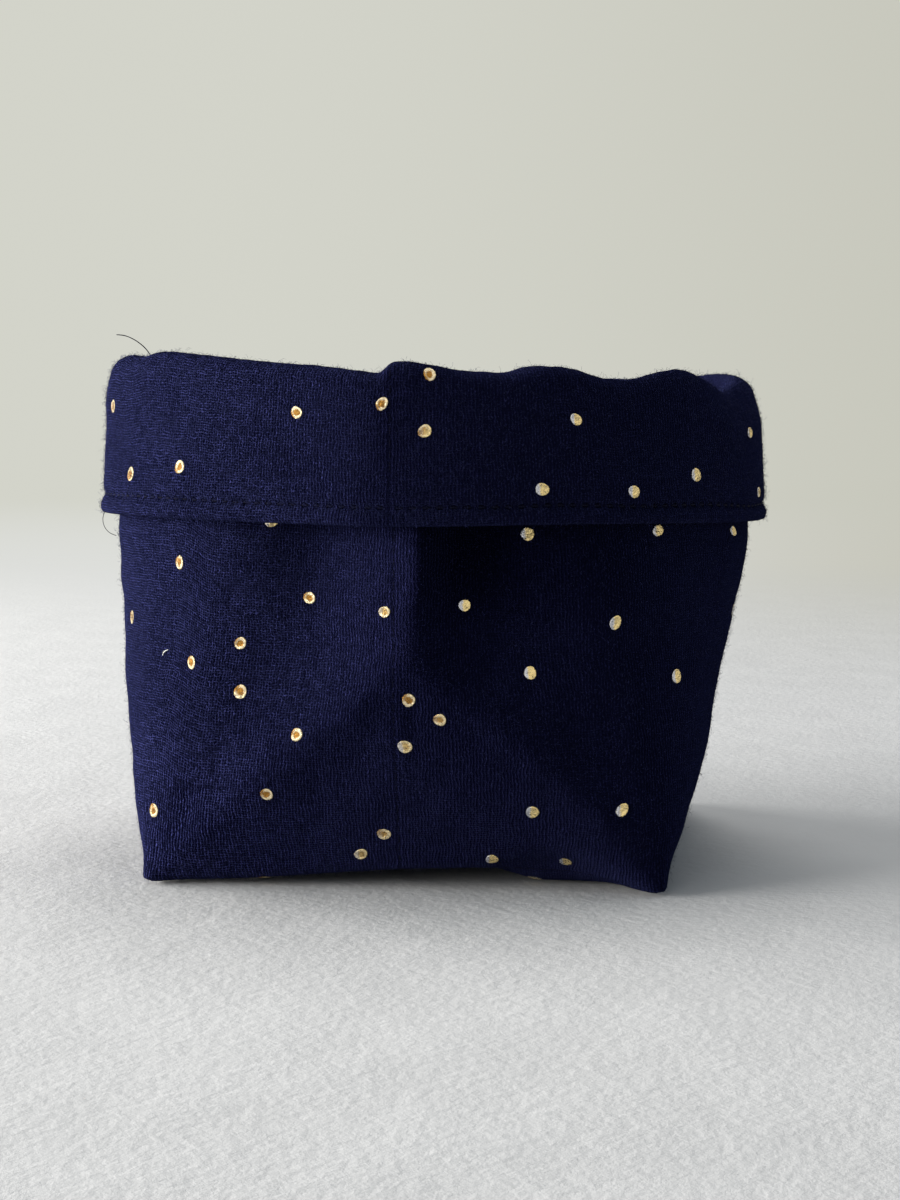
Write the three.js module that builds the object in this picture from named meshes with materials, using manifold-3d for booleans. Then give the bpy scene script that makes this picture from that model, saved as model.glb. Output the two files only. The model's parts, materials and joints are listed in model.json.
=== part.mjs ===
// A small fabric storage bin, sewn from two mirrored cloth panels and lined with two more.
// Millimetres, +Z up, front towards -Y. The origin is the middle of the base, on the surface the bin stands on.
import * as THREE from 'three';
import { ParametricGeometry } from 'three/addons/geometries/ParametricGeometry.js';
import { mergeVertices } from 'three/addons/utils/BufferGeometryUtils.js';
import Module from 'manifold-3d';

// ---- Driving dimensions ----------------------------------------------------------------------

const BASE_SIDE = 107; // square base, over the outer cloth
const RIM_HEIGHT = 110; // top of the roll where the mouth is turned outwards
const CUFF_HEM_HEIGHT = 76.5; // lower edge of the turned-down cuff
const TOPSTITCH_RISE = 4; // topstitch above the cuff's edge
const RIDGE_APEX_HEIGHT = 46; // where each base triangle's creases meet on the front and back ridge
const SIDE_APEX_HEIGHT = 68; // the same on the left and right, where the creases are soft

const GAUZE = 0.6; // double gauze, outer and lining
const FLEECE = 0.7; // fusible fleece between them
const LAYER_GAP = 0.3; // air between neighbouring layers
const CUFF_GAP = 1.0; // air between the wall and the cuff hanging over it
const BASE_FILLET = 4; // bend of the outer cloth from base to wall
const SEAM_SLOT = 1.1; // space between two panels' edges, where the seam thread runs
const THREAD = 0.5; // thread diameter
const MOUTH_THREAD = 0.6; // the mouth seam is sewn with its thread doubled
const THREAD_SIDES = 6;
const TOPSTITCH_DIP = 0.5; // how far the topstitch pulls the lining in

const COLUMNS = 40; // steps round the bin, a multiple of 8 so that ridges and corners have a column

// Half-width along X and half-depth along Y of the outer face, against height.
const HALF_WIDTH = [[0, BASE_SIDE / 2], [20, 61], [46, 69], [76, 72.3], [110, 71.5]];
const HALF_DEPTH = [[0, BASE_SIDE / 2], [RIDGE_APEX_HEIGHT, 64], [76, 65], [110, 64]];

// Heading of the wall, in degrees from +X, between a front crease and a side crease.
const HEADING_AT_RIDGE = 24;
const HEADING_FLATTEST = 18;
const HEADING_AT_SIDE = 84;
const SIDE_BEND = 26; // the sides have no seam, so the cloth bends gently over this much either way

// Depth of each layer's two faces behind the bag's outer face.
const OUTER = { near: 0, far: GAUZE };
const WADDING = { near: OUTER.far + LAYER_GAP, far: OUTER.far + LAYER_GAP + FLEECE };
const LINING = { near: WADDING.far + LAYER_GAP, far: WADDING.far + LAYER_GAP + GAUZE };

// ---- Shape of the wall -----------------------------------------------------------------------

/** Reads a value from a list of [height, value] pairs, straight between them. */
function along(pairs, height) {
  const last = pairs.length - 2;
  const i = Math.min(last, Math.max(0, pairs.findIndex(([h]) => h > height) - 1));
  const k = pairs.some(([h]) => h > height) ? i : last;
  const [[h0, v0], [h1, v1]] = [pairs[k], pairs[k + 1]];
  return v0 + ((v1 - v0) * (height - h0)) / (h1 - h0);
}

/**
 * Heading of the horizontal section, in radians. The wall between two neighbouring base triangles is
 * a cone whose tip is the base corner, so the heading depends only on the slant from that corner,
 * but for the gentle bend over the middle of each side.
 */
function heading(fromCorner, height) {
  const half = BASE_SIDE / 2;
  const slant = fromCorner / Math.max(height, 1e-3);
  const front = -half / RIDGE_APEX_HEIGHT;
  const side = half / SIDE_APEX_HEIGHT;
  const flattest = front / 3;
  if (slant < front) return 0;
  if (slant > side) return Math.PI / 2;
  const degrees = slant < flattest
    ? THREE.MathUtils.mapLinear(slant, front, flattest, HEADING_AT_RIDGE, HEADING_FLATTEST)
    : THREE.MathUtils.mapLinear(slant, flattest, side, HEADING_FLATTEST, HEADING_AT_SIDE);
  const bend = THREE.MathUtils.smoothstep(fromCorner, half - SIDE_BEND, half);
  return THREE.MathUtils.degToRad(THREE.MathUtils.lerp(degrees, 90, bend));
}

/**
 * The outer face's horizontal section as COLUMNS points, counter-clockwise from the front ridge.
 * One quarter is summed from its headings, fitted to the half-width and half-depth, and mirrored.
 */
function section(height) {
  const quarter = COLUMNS / 4;
  const stepsPerColumn = 20;
  const step = BASE_SIDE / quarter / stepsPerColumn;
  const points = [new THREE.Vector2()];
  const at = new THREE.Vector2();
  for (let i = 0; i < quarter * stepsPerColumn; i++) {
    const angle = heading((i + 0.5) * step - BASE_SIDE / 2, height);
    at.add(new THREE.Vector2(Math.cos(angle), Math.sin(angle)).multiplyScalar(step));
    if ((i + 1) % stepsPerColumn === 0) points.push(at.clone());
  }
  const wide = along(HALF_WIDTH, height) / at.x;
  const deep = along(HALF_DEPTH, height) / at.y;
  const first = points.map((p) => new THREE.Vector2(p.x * wide, (p.y - at.y) * deep));
  const mirrored = (list, x, y) => list.map((p) => new THREE.Vector2(p.x * x, p.y * y));
  return [
    ...first.slice(0, -1),
    ...mirrored(first, 1, -1).reverse().slice(0, -1),
    ...mirrored(first, -1, -1).slice(0, -1),
    ...mirrored(first, -1, 1).reverse().slice(0, -1),
  ];
}

/** Moves every edge of a closed outline outwards by the same distance. */
function offsetOutline(outline, distance) {
  const count = outline.length;
  const normal = (a, b) => new THREE.Vector2(b.y - a.y, a.x - b.x).normalize();
  return outline.map((p, i) => {
    const before = normal(outline[(i + count - 1) % count], p);
    const after = normal(p, outline[(i + 1) % count]);
    const miter = before.clone().add(after).divideScalar(1 + before.dot(after));
    return p.clone().addScaledVector(miter, distance);
  });
}

// ---- Stations from the middle of the base, up the wall, over the rim and down the cuff --------

// Up to the apex the heights follow the crease, one for each column that it crosses.
const CREASE_STEPS = COLUMNS / 8;
const CREASE_HEIGHTS = Array.from(
  { length: CREASE_STEPS },
  (_, i) => (RIDGE_APEX_HEIGHT * (i + 1)) / CREASE_STEPS,
);
const WALL_HEIGHTS = [...CREASE_HEIGHTS, 61, 76, 92];

/**
 * A station is a ring of the bag's outer face: how far it stands out from the wall line, how high it
 * is, and the angle that the face looks at, from 0 outwards to -90 degrees down.
 */
function stations(cuffHeights) {
  const ring = (out, height, degrees, more = {}) => ({ out, height, degrees, ...more });
  const wallTop = RIM_HEIGHT - LINING.far - CUFF_GAP / 2;
  const rings = [ring(0, 0, -90, { scale: 0 }), ring(0, 0, -90, { scale: 0.5 })];
  for (const degrees of [-90, -45, 0]) {
    const angle = THREE.MathUtils.degToRad(degrees);
    rings.push(ring(BASE_FILLET * (Math.cos(angle) - 1), BASE_FILLET * (1 + Math.sin(angle)), degrees));
  }
  for (const height of WALL_HEIGHTS) rings.push(ring(0, height, 0));
  for (const degrees of [0, -45, -90, -135, -180]) {
    const angle = THREE.MathUtils.degToRad(degrees);
    const radius = CUFF_GAP / 2;
    rings.push(ring(radius * (1 - Math.cos(angle)), wallTop - radius * Math.sin(angle), degrees));
  }
  for (const { height, dip = 0 } of cuffHeights) rings.push(ring(CUFF_GAP, height, -180, { dip }));
  return rings;
}

const TOPSTITCH_HEIGHT = CUFF_HEM_HEIGHT + TOPSTITCH_RISE;
const CUFF_TO_HEM = [{ height: 94 }, { height: CUFF_HEM_HEIGHT }];
const CUFF_TO_TOPSTITCH = [{ height: 94 }, { height: TOPSTITCH_HEIGHT + 1.5 }];
const CUFF_WITH_DIP = [
  { height: 94 },
  { height: TOPSTITCH_HEIGHT + 1.5 },
  { height: TOPSTITCH_HEIGHT, dip: TOPSTITCH_DIP },
  { height: TOPSTITCH_HEIGHT - 1.5 },
  { height: CUFF_HEM_HEIGHT },
];

/** The ring of points at a depth behind the outer face at one station. */
function ringAt(station, depth) {
  const angle = THREE.MathUtils.degToRad(station.degrees);
  const buried = depth - (station.dip ?? 0);
  const out = station.out - buried * Math.cos(angle);
  const height = station.height - buried * Math.sin(angle);
  const outline = section(station.height);
  const flat = station.scale === undefined
    ? offsetOutline(outline, out)
    : outline.map((p) => p.clone().multiplyScalar(station.scale));
  return flat.map((p) => new THREE.Vector3(p.x, p.y, height));
}

// ---- Cloth layers ----------------------------------------------------------------------------

const wasm = await Module();
wasm.setup();

/** A closed three.js geometry as a solid that can be cut. */
function toSolid(geometry) {
  const bare = geometry.clone();
  bare.deleteAttribute('normal');
  bare.deleteAttribute('uv');
  const merged = mergeVertices(bare, 1e-3);
  const vertProperties = new Float32Array(merged.attributes.position.array);
  const triVerts = new Uint32Array(merged.index.array);
  return new wasm.Manifold(new wasm.Mesh({ numProp: 3, vertProperties, triVerts }));
}

/** A cut solid as a three.js geometry again. */
function toGeometry(solid) {
  const { vertProperties, triVerts } = solid.getMesh();
  const geometry = new THREE.BufferGeometry();
  geometry.setAttribute('position', new THREE.BufferAttribute(vertProperties, 3));
  geometry.setIndex(new THREE.BufferAttribute(triVerts, 1));
  geometry.computeVertexNormals();
  return geometry;
}

/**
 * Splits each four-sided facet of a cup along the slanting crease that leaves its nearest base
 * corner, on the far face as on the near one, so that neighbouring layers stay parallel.
 */
function splitAlongCreases(geometry, stacks) {
  const index = [];
  for (let i = 0; i < stacks; i++) {
    const farFace = i >= stacks / 2;
    for (let j = 0; j < COLUMNS; j++) {
      const a = i * (COLUMNS + 1) + j;
      const [b, c, d] = [a + 1, a + COLUMNS + 2, a + COLUMNS + 1];
      const towardsCorner = Math.floor(j / (COLUMNS / 8)) % 2 === 0;
      if (towardsCorner === farFace) index.push(a, b, c, a, c, d);
      else index.push(a, b, d, b, c, d);
    }
  }
  geometry.setIndex(index);
  return geometry;
}

/** A whole layer as one closed cup: its near face from base to hem, then its far face back again. */
function layerCup(layer, rings) {
  const loops = [
    ...rings.map((station) => ringAt(station, layer.near)),
    ...rings.map((station) => ringAt(station, layer.far)).reverse(),
  ];
  const surface = (u, v, target) => {
    const loop = loops[Math.round(v * (loops.length - 1))];
    target.copy(loop[Math.round(u * COLUMNS) % COLUMNS]);
  };
  const stacks = loops.length - 1;
  return toSolid(splitAlongCreases(new ParametricGeometry(surface, COLUMNS, stacks), stacks));
}

/** Half of space, on one side of the seam slot at X = 0. */
function sideBlock(side) {
  const size = 3 * BASE_SIDE;
  const block = new THREE.BoxGeometry(size, size, size);
  block.translate(side * (size / 2 + SEAM_SLOT / 2), 0, 0);
  return toSolid(block);
}

const FILLET_CENTRE = new THREE.Vector2(BASE_SIDE / 2 - BASE_FILLET, BASE_FILLET);

/** The slot of a boxed corner's seam, along the front (-1) or back (+1) edge of the base. */
function cornerSlot(direction) {
  const reach = BASE_FILLET + 0.6;
  const nearest = BASE_FILLET - LINING.far - 0.6;
  const slot = new THREE.BoxGeometry(BASE_SIDE - 2, reach - nearest, SEAM_SLOT);
  slot.translate(0, direction * (reach + nearest) / 2, 0);
  slot.rotateX(-direction * Math.PI / 4);
  slot.translate(0, direction * FILLET_CENTRE.x, FILLET_CENTRE.y);
  return toSolid(slot);
}

const CORNER_SLOTS = [cornerSlot(-1), cornerSlot(1)];

/** The left (-1) or right (+1) panel of a layer, in one piece: base, wall and cuff. */
function panel(layer, cuffHeights, side) {
  let cloth = layerCup(layer, stations(cuffHeights)).intersect(sideBlock(side));
  for (const slot of CORNER_SLOTS) cloth = cloth.subtract(slot);
  return toGeometry(cloth);
}

// ---- Threads ---------------------------------------------------------------------------------

/** A path that is stepped at its own points, so that a thread turns where the cloth turns. */
class StationPath extends THREE.Curve {
  constructor(points) {
    super();
    this.points = points;
  }

  getPoint(t, target = new THREE.Vector3()) {
    const place = t * (this.points.length - 1);
    const i = Math.min(Math.floor(place), this.points.length - 2);
    return target.lerpVectors(this.points[i], this.points[i + 1], place - i);
  }

  getPointAt(t, target) {
    return this.getPoint(t, target);
  }

  getTangentAt(t, target = new THREE.Vector3()) {
    const step = 1 / (this.points.length - 1);
    const before = this.getPoint(Math.max(0, t - step));
    return target.subVectors(this.getPoint(Math.min(1, t + step)), before).normalize();
  }
}

/** A round thread of the given diameter along a list of points. */
function thread(points, diameter = THREAD) {
  const round = new THREE.Shape();
  const corner = (i) => (2 * Math.PI * i) / THREAD_SIDES;
  const radius = diameter / 2;
  round.moveTo(radius, 0);
  for (let i = 1; i < THREAD_SIDES; i++) {
    round.lineTo(radius * Math.cos(corner(i)), radius * Math.sin(corner(i)));
  }
  round.closePath();
  const path = new StationPath(points);
  return new THREE.ExtrudeGeometry(round, { steps: points.length - 1, extrudePath: path });
}

const middle = (layer) => (layer.near + layer.far) / 2;

/** A side seam, up the front (-1) or back (+1) ridge, over the rim and down the cuff. */
function sideSeam(layer, direction, cuffHeights) {
  const column = direction < 0 ? 0 : COLUMNS / 2;
  const wallAndCuff = stations(cuffHeights).slice(4);
  const points = wallAndCuff.map((station) => ringAt(station, middle(layer))[column]);
  points[points.length - 1].z += THREAD;
  return thread(points);
}

/** The straight seam across the middle of the base, from front to back. */
function bottomSeam(layer) {
  const reach = FILLET_CENTRE.x;
  const height = middle(layer);
  return thread([new THREE.Vector3(0, -reach, height), new THREE.Vector3(0, reach, height)]);
}

/** A boxed corner's seam, along the front (-1) or back (+1) edge of the base. */
function cornerSeam(layer, direction) {
  const reach = (BASE_FILLET - middle(layer)) * Math.SQRT1_2;
  const half = BASE_SIDE / 2 - 2;
  const y = direction * (FILLET_CENTRE.x + reach);
  const z = FILLET_CENTRE.y - reach;
  return thread([new THREE.Vector3(-half, y, z), new THREE.Vector3(half, y, z)]);
}

/** A row of stitches right round the cuff, begun and ended beside the back ridge. */
function roundSeam(station, depth, diameter) {
  const ring = ringAt(station, depth);
  const start = COLUMNS / 2;
  const points = Array.from({ length: COLUMNS + 1 }, (_, i) => ring[(start + i) % COLUMNS].clone());
  const nudge = 2 * diameter / points[0].distanceTo(points[1]);
  points[0].lerp(points[1], nudge);
  points[COLUMNS].lerp(points[COLUMNS - 1], nudge);
  return thread(points, diameter);
}

// ---- Assembly --------------------------------------------------------------------------------

const navyGauze = new THREE.MeshStandardMaterial({ color: 0x141a4a, roughness: 0.95, metalness: 0 });
const whiteFleece = new THREE.MeshStandardMaterial({ color: 0xe6e3da, roughness: 1, metalness: 0 });
const navyThread = new THREE.MeshStandardMaterial({ color: 0x101538, roughness: 0.7, metalness: 0 });

const bin = new THREE.Group();

function add(name, geometry, material) {
  const mesh = new THREE.Mesh(geometry, material);
  mesh.name = name;
  bin.add(mesh);
}

const SIDES = { left: -1, right: 1 };
const ENDS = { front: -1, back: 1 };

for (const [side, sign] of Object.entries(SIDES)) {
  add(`outer_${side}_panel`, panel(OUTER, CUFF_TO_HEM, sign), navyGauze);
  add(`fleece_${side}_panel`, panel(WADDING, CUFF_TO_TOPSTITCH, sign), whiteFleece);
  add(`lining_${side}_panel`, panel(LINING, CUFF_WITH_DIP, sign), navyGauze);
}

const SEWN_LAYERS = {
  outer: { layer: OUTER, cuff: CUFF_TO_HEM },
  lining: { layer: LINING, cuff: CUFF_TO_TOPSTITCH },
};
for (const [name, { layer, cuff }] of Object.entries(SEWN_LAYERS)) {
  add(`${name}_bottom_seam`, bottomSeam(layer), navyThread);
  for (const [end, direction] of Object.entries(ENDS)) {
    add(`${name}_side_seam_${end}`, sideSeam(layer, direction, cuff), navyThread);
    add(`${name}_corner_seam_${end}`, cornerSeam(layer, direction), navyThread);
  }
}

const insideHem = { out: CUFF_GAP, height: CUFF_HEM_HEIGHT + 1, degrees: -180 };
const betweenLayers = (OUTER.far + LINING.near) / 2;
add('mouth_seam', roundSeam(insideHem, betweenLayers, MOUTH_THREAD), navyThread);

const onTopstitch = { out: CUFF_GAP, height: TOPSTITCH_HEIGHT, degrees: -180, dip: TOPSTITCH_DIP };
const overLining = LINING.far + LAYER_GAP + THREAD / 2;
add('hem_topstitch', roundSeam(onTopstitch, overLining, THREAD), navyThread);

export default bin;
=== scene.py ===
"""A small hand-sewn storage bin: two panels of navy double gauze with pressed foil dots, a fleece
interlining, and a lining of the same gauze that is turned out over the mouth as a cuff.

The bag's shape is worked out in millimetres with numpy and becomes metres when a mesh is made.
Front is -Y. A point of the cloth has two coordinates: "across", the distance round the bin from the
front seam (0 to 214 on the right-hand panel, 0 to -214 on the left-hand one), and "up", the distance
from the base's edge, negative on the base, growing up the wall, over the rim and down the cuff.
"""

import json
import math

import bpy
import numpy as np
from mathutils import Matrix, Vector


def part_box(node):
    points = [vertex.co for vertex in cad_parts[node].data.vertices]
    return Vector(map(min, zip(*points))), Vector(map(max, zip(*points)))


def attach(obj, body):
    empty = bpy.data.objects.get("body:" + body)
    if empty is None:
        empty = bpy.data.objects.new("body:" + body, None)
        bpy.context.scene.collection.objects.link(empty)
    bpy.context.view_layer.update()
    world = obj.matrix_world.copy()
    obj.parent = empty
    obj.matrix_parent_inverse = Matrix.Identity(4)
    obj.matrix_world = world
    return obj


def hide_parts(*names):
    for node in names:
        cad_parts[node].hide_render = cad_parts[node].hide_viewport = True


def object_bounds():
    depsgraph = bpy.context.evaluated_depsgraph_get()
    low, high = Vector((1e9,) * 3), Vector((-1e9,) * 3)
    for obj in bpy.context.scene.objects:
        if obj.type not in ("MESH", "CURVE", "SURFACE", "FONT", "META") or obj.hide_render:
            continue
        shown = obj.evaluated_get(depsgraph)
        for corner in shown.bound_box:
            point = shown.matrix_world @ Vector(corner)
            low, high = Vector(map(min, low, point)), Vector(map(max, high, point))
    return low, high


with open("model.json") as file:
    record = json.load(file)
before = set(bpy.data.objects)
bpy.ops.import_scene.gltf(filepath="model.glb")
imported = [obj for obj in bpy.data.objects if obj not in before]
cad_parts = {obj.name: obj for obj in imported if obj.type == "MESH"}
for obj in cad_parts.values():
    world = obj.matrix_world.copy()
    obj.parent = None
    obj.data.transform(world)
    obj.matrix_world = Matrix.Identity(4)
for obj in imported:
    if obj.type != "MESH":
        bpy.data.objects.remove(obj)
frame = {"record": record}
cad_low, cad_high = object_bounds()

MM = 0.001


def cad_box(node):
    """Lowest and highest corner of a node of the frame, in millimetres."""
    low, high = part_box(node)
    return np.array(low) / MM, np.array(high) / MM


# ---- Driving dimensions, in millimetres --------------------------------------------------------

CORNER_SEAM_INSET = 4.0  # the base seam stops this far short of the base's edge
GAUZE = 0.6
FLEECE_NEAR, FLEECE_FAR = 0.9, 1.6  # the fleece's two faces, behind the bag's outer face
FOLD_GAP = 0.5  # inner radius of the fold at the rim

seam_high = cad_box("outer_bottom_seam")[1]
stitch_low, stitch_high = cad_box("hem_topstitch")
lining_seam_low, lining_seam_high = cad_box("lining_bottom_seam")

HALF = seam_high[1] + CORNER_SEAM_INSET  # half of the base's side
SIDE = 2 * HALF  # cloth from one seam to the middle of the side
LINING = (lining_seam_low[2] + lining_seam_high[2]) / 2 + GAUZE / 2  # depth of the lining's face
RIM = cad_high.z / MM
WALL_TOP = RIM - LINING - FOLD_GAP  # where the fold at the rim begins
TOPSTITCH = (stitch_low[2] + stitch_high[2]) / 2
WELT = 4.0  # from the topstitch down to the hem
HEM = TOPSTITCH - WELT

# Half-width and half-depth of the outer face against height.
HALF_WIDTH = [(0, HALF), (20, 61.0), (37, 66.2), (52, 69.4), (76, 72.0), (112, 71.0)]
HALF_DEPTH = [(0, HALF), (20, 58.4), (46, 64), (76, 65), (112, 64)]

# The base triangles' creases: they leave the base corners and meet on the front and back ridge.
RIDGE_APEX = 49.0
SIDE_APEX = 68.0
HEADING_AT_RIDGE, HEADING_FLATTEST, HEADING_AT_SIDE = 25.0, 18.0, 84.0  # degrees from +X
SIDE_BEND = 26.0
CREASE_SOFT = 2.2  # half of the width over which a crease turns
CREASE_BOWS = {"front_right": 3.5, "front_left": -0.8, "back_right": 4.0, "back_left": 5.5}

# The ridge leans to the right of the front seam on the body, and stays by it on the cuff.
FRONT_RIDGE_SHIFT = [
    (0, 0), (24, 1.2), (40, 2.4), (49, 2.8), (56, 3.6), (64, 4.6), (76, 4.6), (88, 0.5), (112, 0.5),
]
CUFF_RIDGE_SHIFT = -1.8

BASE_ROUNDING = 2.5  # a base edge starts to turn this far from it,
PLUMP_ROUNDING = 8.0  # this much farther at the right of the front edge,
CORNER_ROUNDING = 3.4  # and this far at the four corners
ROUNDING_LOST = 1.17  # a layer turns more sharply by this times its depth
SEAM_UNDER = 3.0  # how far the front and back base seams lie under the bin
SEAM_DIP = 0.07  # depth of the groove along a seam
SEAM_REACH = 0.6  # and its half-width
EAR = 1.1  # how far the sewn corners stick out

# How far the front base edge is lifted off the floor, against X.
FRONT_LIFT = [(-HALF, 0), (-30, 1.5), (0, 4.0), (20, 4.6), (34, 4.2), (42, 2.7), (48, 0.8), (HALF, 0)]
BACK_LIFT = [(-HALF, 0), (-38, 2.4), (-10, 3.6), (22, 3.0), (HALF, 0)]
SIDE_LIFT = [(-HALF, 0), (-20, 1.3), (15, 1.6), (HALF, 0)]  # against Y

# Height of the rim above its plain level, against the place across the cloth.
RIM_WAVES = [
    (-214, -2.8), (-190, -1.4), (-160, -2.8), (-135, -1.0), (-107, 0.0), (-84, 1.9), (-72, 1.2),
    (-64, 2.0), (-54, 1.4), (-30, -0.9), (-12, -2.4), (-4, -3.4), (4, -3.3),
    (10, -2.8), (16, -2.9), (24, -3.2), (31, -1.9), (40, -2.5), (48, -4.4), (55, -4.2), (63, -2.6),
    (70, -2.2), (78, -4.2), (87, -6.8), (98, -5.0), (112, -3.0), (130, -1.6), (152, -3.0), (172, -1.8),
    (196, -3.2), (205, -1.4), (214, -2.8),
]
RIM_BUMP = 2.2  # a pucker that stands up at the front seam, steep on its left side
# The same for the hem.
HEM_WAVES = [
    (-214, 0), (-170, 0.6), (-130, -0.4), (-80, 0.4), (-30, 0.1), (0, -0.3), (40, -0.2),
    (80, -0.9), (107, -1.1), (150, 0.3), (190, -0.5), (214, 0),
]


# ---- Plain mathematics -------------------------------------------------------------------------


def smoothstep(low, high, value):
    """0 below low, 1 above high, and 3t^2 - 2t^3 between them."""
    t = np.clip((value - low) / (high - low), 0, 1)
    return t * t * (3 - 2 * t)


def ramp(value, width):
    """0 below -width, the value itself above width, and a parabola that joins the two smoothly."""
    bend = (np.clip(value, -width, width) + width) ** 2 / (4 * width)
    return np.where(value > width, value, bend)


def bell(value, middle, width):
    """exp(-((value - middle) / width)^2)."""
    return np.exp(-(((value - middle) / width) ** 2))


def smooth_through(points, at):
    """A curve through points: cubic between neighbours, each slope the mean of its two chords."""
    x, y = np.array(points, float).T
    chord = np.diff(y) / np.diff(x)
    slope = np.concatenate([chord[:1], (chord[1:] + chord[:-1]) / 2, chord[-1:]])
    at = np.clip(at, x[0], x[-1])
    i = np.clip(np.searchsorted(x, at, side="right") - 1, 0, len(x) - 2)
    step = x[i + 1] - x[i]
    t = (at - x[i]) / step
    start = y[i] * (1 + 2 * t) * (1 - t) ** 2 + step * slope[i] * t * (1 - t) ** 2
    end = y[i + 1] * t * t * (3 - 2 * t) + step * slope[i + 1] * t * t * (t - 1)
    return start + end


def read_between(grid, row, column):
    """A grid's values at places between its rows and columns."""
    i = np.minimum(row.astype(int), grid.shape[0] - 2)
    j = np.minimum(column.astype(int), grid.shape[1] - 2)
    a, b = row - i, column - j
    if grid.ndim == 3:
        a, b = a[..., None], b[..., None]
    low = grid[i, j] * (1 - b) + grid[i, j + 1] * b
    high = grid[i + 1, j] * (1 - b) + grid[i + 1, j + 1] * b
    return low * (1 - a) + high * a


def ripples(seed, count, shortest, longest, amplitude):
    """A seeded sum of cosines over the cloth, each of its own direction, wavelength and phase.
    The number of waves round the bin is whole, so that they meet at the back seam."""
    draw = np.random.default_rng(seed)
    length = np.exp(draw.uniform(math.log(shortest), math.log(longest), count))
    angle = draw.uniform(0, math.pi, count)
    phase = draw.uniform(0, 2 * math.pi, count)
    round_bin = np.round(4 * SIDE / length * np.cos(angle)) / (4 * SIDE)
    up_wall = np.sin(angle) / length
    share = amplitude * math.sqrt(2 / count) * (length / longest) ** 0.7

    def field(across, up):
        total = 0
        for a, b, c, d in zip(round_bin, up_wall, phase, share):
            total = total + d * np.cos(2 * math.pi * (a * across + b * up) + c)
        return total

    return field


# ---- Shape of the wall -------------------------------------------------------------------------

TABLE_STEP = 0.25
TABLE_RISE = 0.5
TABLE_TOP = 116
table_heights = np.arange(0, TABLE_TOP, TABLE_RISE)


def quarter_section(bow):
    """Horizontal sections of one quarter of the wall, from a ridge to the middle of a side, as X
    away from the seam and Y from the middle, one row for each height. The heading is 0 on the base
    triangle. Above its crease the wall is a cone whose tip is the base corner, so the heading
    depends on the slant from that corner; bow lifts the middle of the crease. The headings are
    summed along the cloth and fitted to the half-width and half-depth at each height."""
    place = np.arange(TABLE_STEP / 2, SIDE, TABLE_STEP)
    height = table_heights[:, None]
    share = np.clip(place / HALF, 0, 1)
    above = np.maximum(height - bow * 4 * share * (1 - share), 0.05)
    slant = (place - HALF) / above
    front, side = -HALF / RIDGE_APEX, HALF / SIDE_APEX
    cone = np.interp(
        slant, [front, front / 3, side], [HEADING_AT_RIDGE, HEADING_FLATTEST, HEADING_AT_SIDE]
    )
    degrees = cone * smoothstep(-CREASE_SOFT, CREASE_SOFT, (slant - front) * above)
    past_side = smoothstep(-CREASE_SOFT, CREASE_SOFT, (slant - side) * above)
    bend = np.maximum(past_side, smoothstep(HALF - SIDE_BEND, HALF, place - HALF))
    heading = np.radians(degrees + (90 - degrees) * bend)
    start = np.zeros_like(height)
    x = np.hstack([start, np.cumsum(np.cos(heading), 1)])
    y = np.hstack([start, np.cumsum(np.sin(heading), 1)])
    wide = smooth_through(HALF_WIDTH, height) / x[:, -1:]
    deep = smooth_through(HALF_DEPTH, height) / y[:, -1:]
    return x * wide, (y - y[:, -1:]) * deep


def wall_table():
    """The whole outline at every height as complex numbers X + iY, from the back seam round by the
    left, the front and the right to the back seam again. A Gaussian blur along the cloth, wider
    above the base, rounds the ridges."""
    quarters = {name: quarter_section(bow) for name, bow in CREASE_BOWS.items()}
    signs = {"front_right": (1, 1), "front_left": (-1, 1), "back_right": (1, -1), "back_left": (-1, -1)}
    loops = {
        name: signs[name][0] * x + 1j * signs[name][1] * y for name, (x, y) in quarters.items()
    }
    outline = np.hstack([
        loops["back_left"][:, :-1],
        loops["front_left"][:, :0:-1],
        loops["front_right"][:, :-1],
        loops["back_right"][:, :0:-1],
    ])
    sigma = 0.6 + 1.2 * smoothstep(0, 14, table_heights) + 5.0 * smoothstep(71, 79, table_heights)
    sigma = sigma[:, None]
    waves = np.fft.fftfreq(outline.shape[1], TABLE_STEP)
    soft = np.fft.ifft(np.fft.fft(outline, axis=1) * np.exp(-2 * (math.pi * waves * sigma) ** 2), axis=1)
    return np.hstack([soft, soft[:, :1]])


TABLE = wall_table()


def outline_at(across, height):
    """X and Y of the plain outer face, read between the rows and columns of the table."""
    column = np.clip((across + 2 * SIDE) / TABLE_STEP, 0, TABLE.shape[1] - 1.001)
    row = np.clip(height / TABLE_RISE, 0, TABLE.shape[0] - 1.001)
    column, row = np.broadcast_arrays(column, row)
    found = read_between(TABLE, row, column)
    return found.real, found.imag


def wall_at(across, height, out, ridge_shift):
    """X and Y of a point that stands out from the plain outer face, with the front ridge moved
    sideways. Standing out is a scaling about the bin's axis, so that layers never cross."""
    near_front = np.clip(1 - np.abs(across) / SIDE, 0, 1)
    moved = across - ridge_shift * near_front
    x, y = outline_at(moved, height)
    x = x + ridge_shift * np.clip(1 - np.abs(moved) / SIDE, 0, 1)
    wide = 1 + out / smooth_through(HALF_WIDTH, height)
    deep = 1 + out / smooth_through(HALF_DEPTH, height)
    return x * wide, y * deep


slow_waves = ripples(11, 14, 16, 60, 0.28)
small_waves = ripples(23, 18, 6, 16, 0.10)
cuff_waves = ripples(31, 14, 12, 50, 0.22)
base_waves = ripples(41, 10, 14, 50, 0.25)

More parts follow.
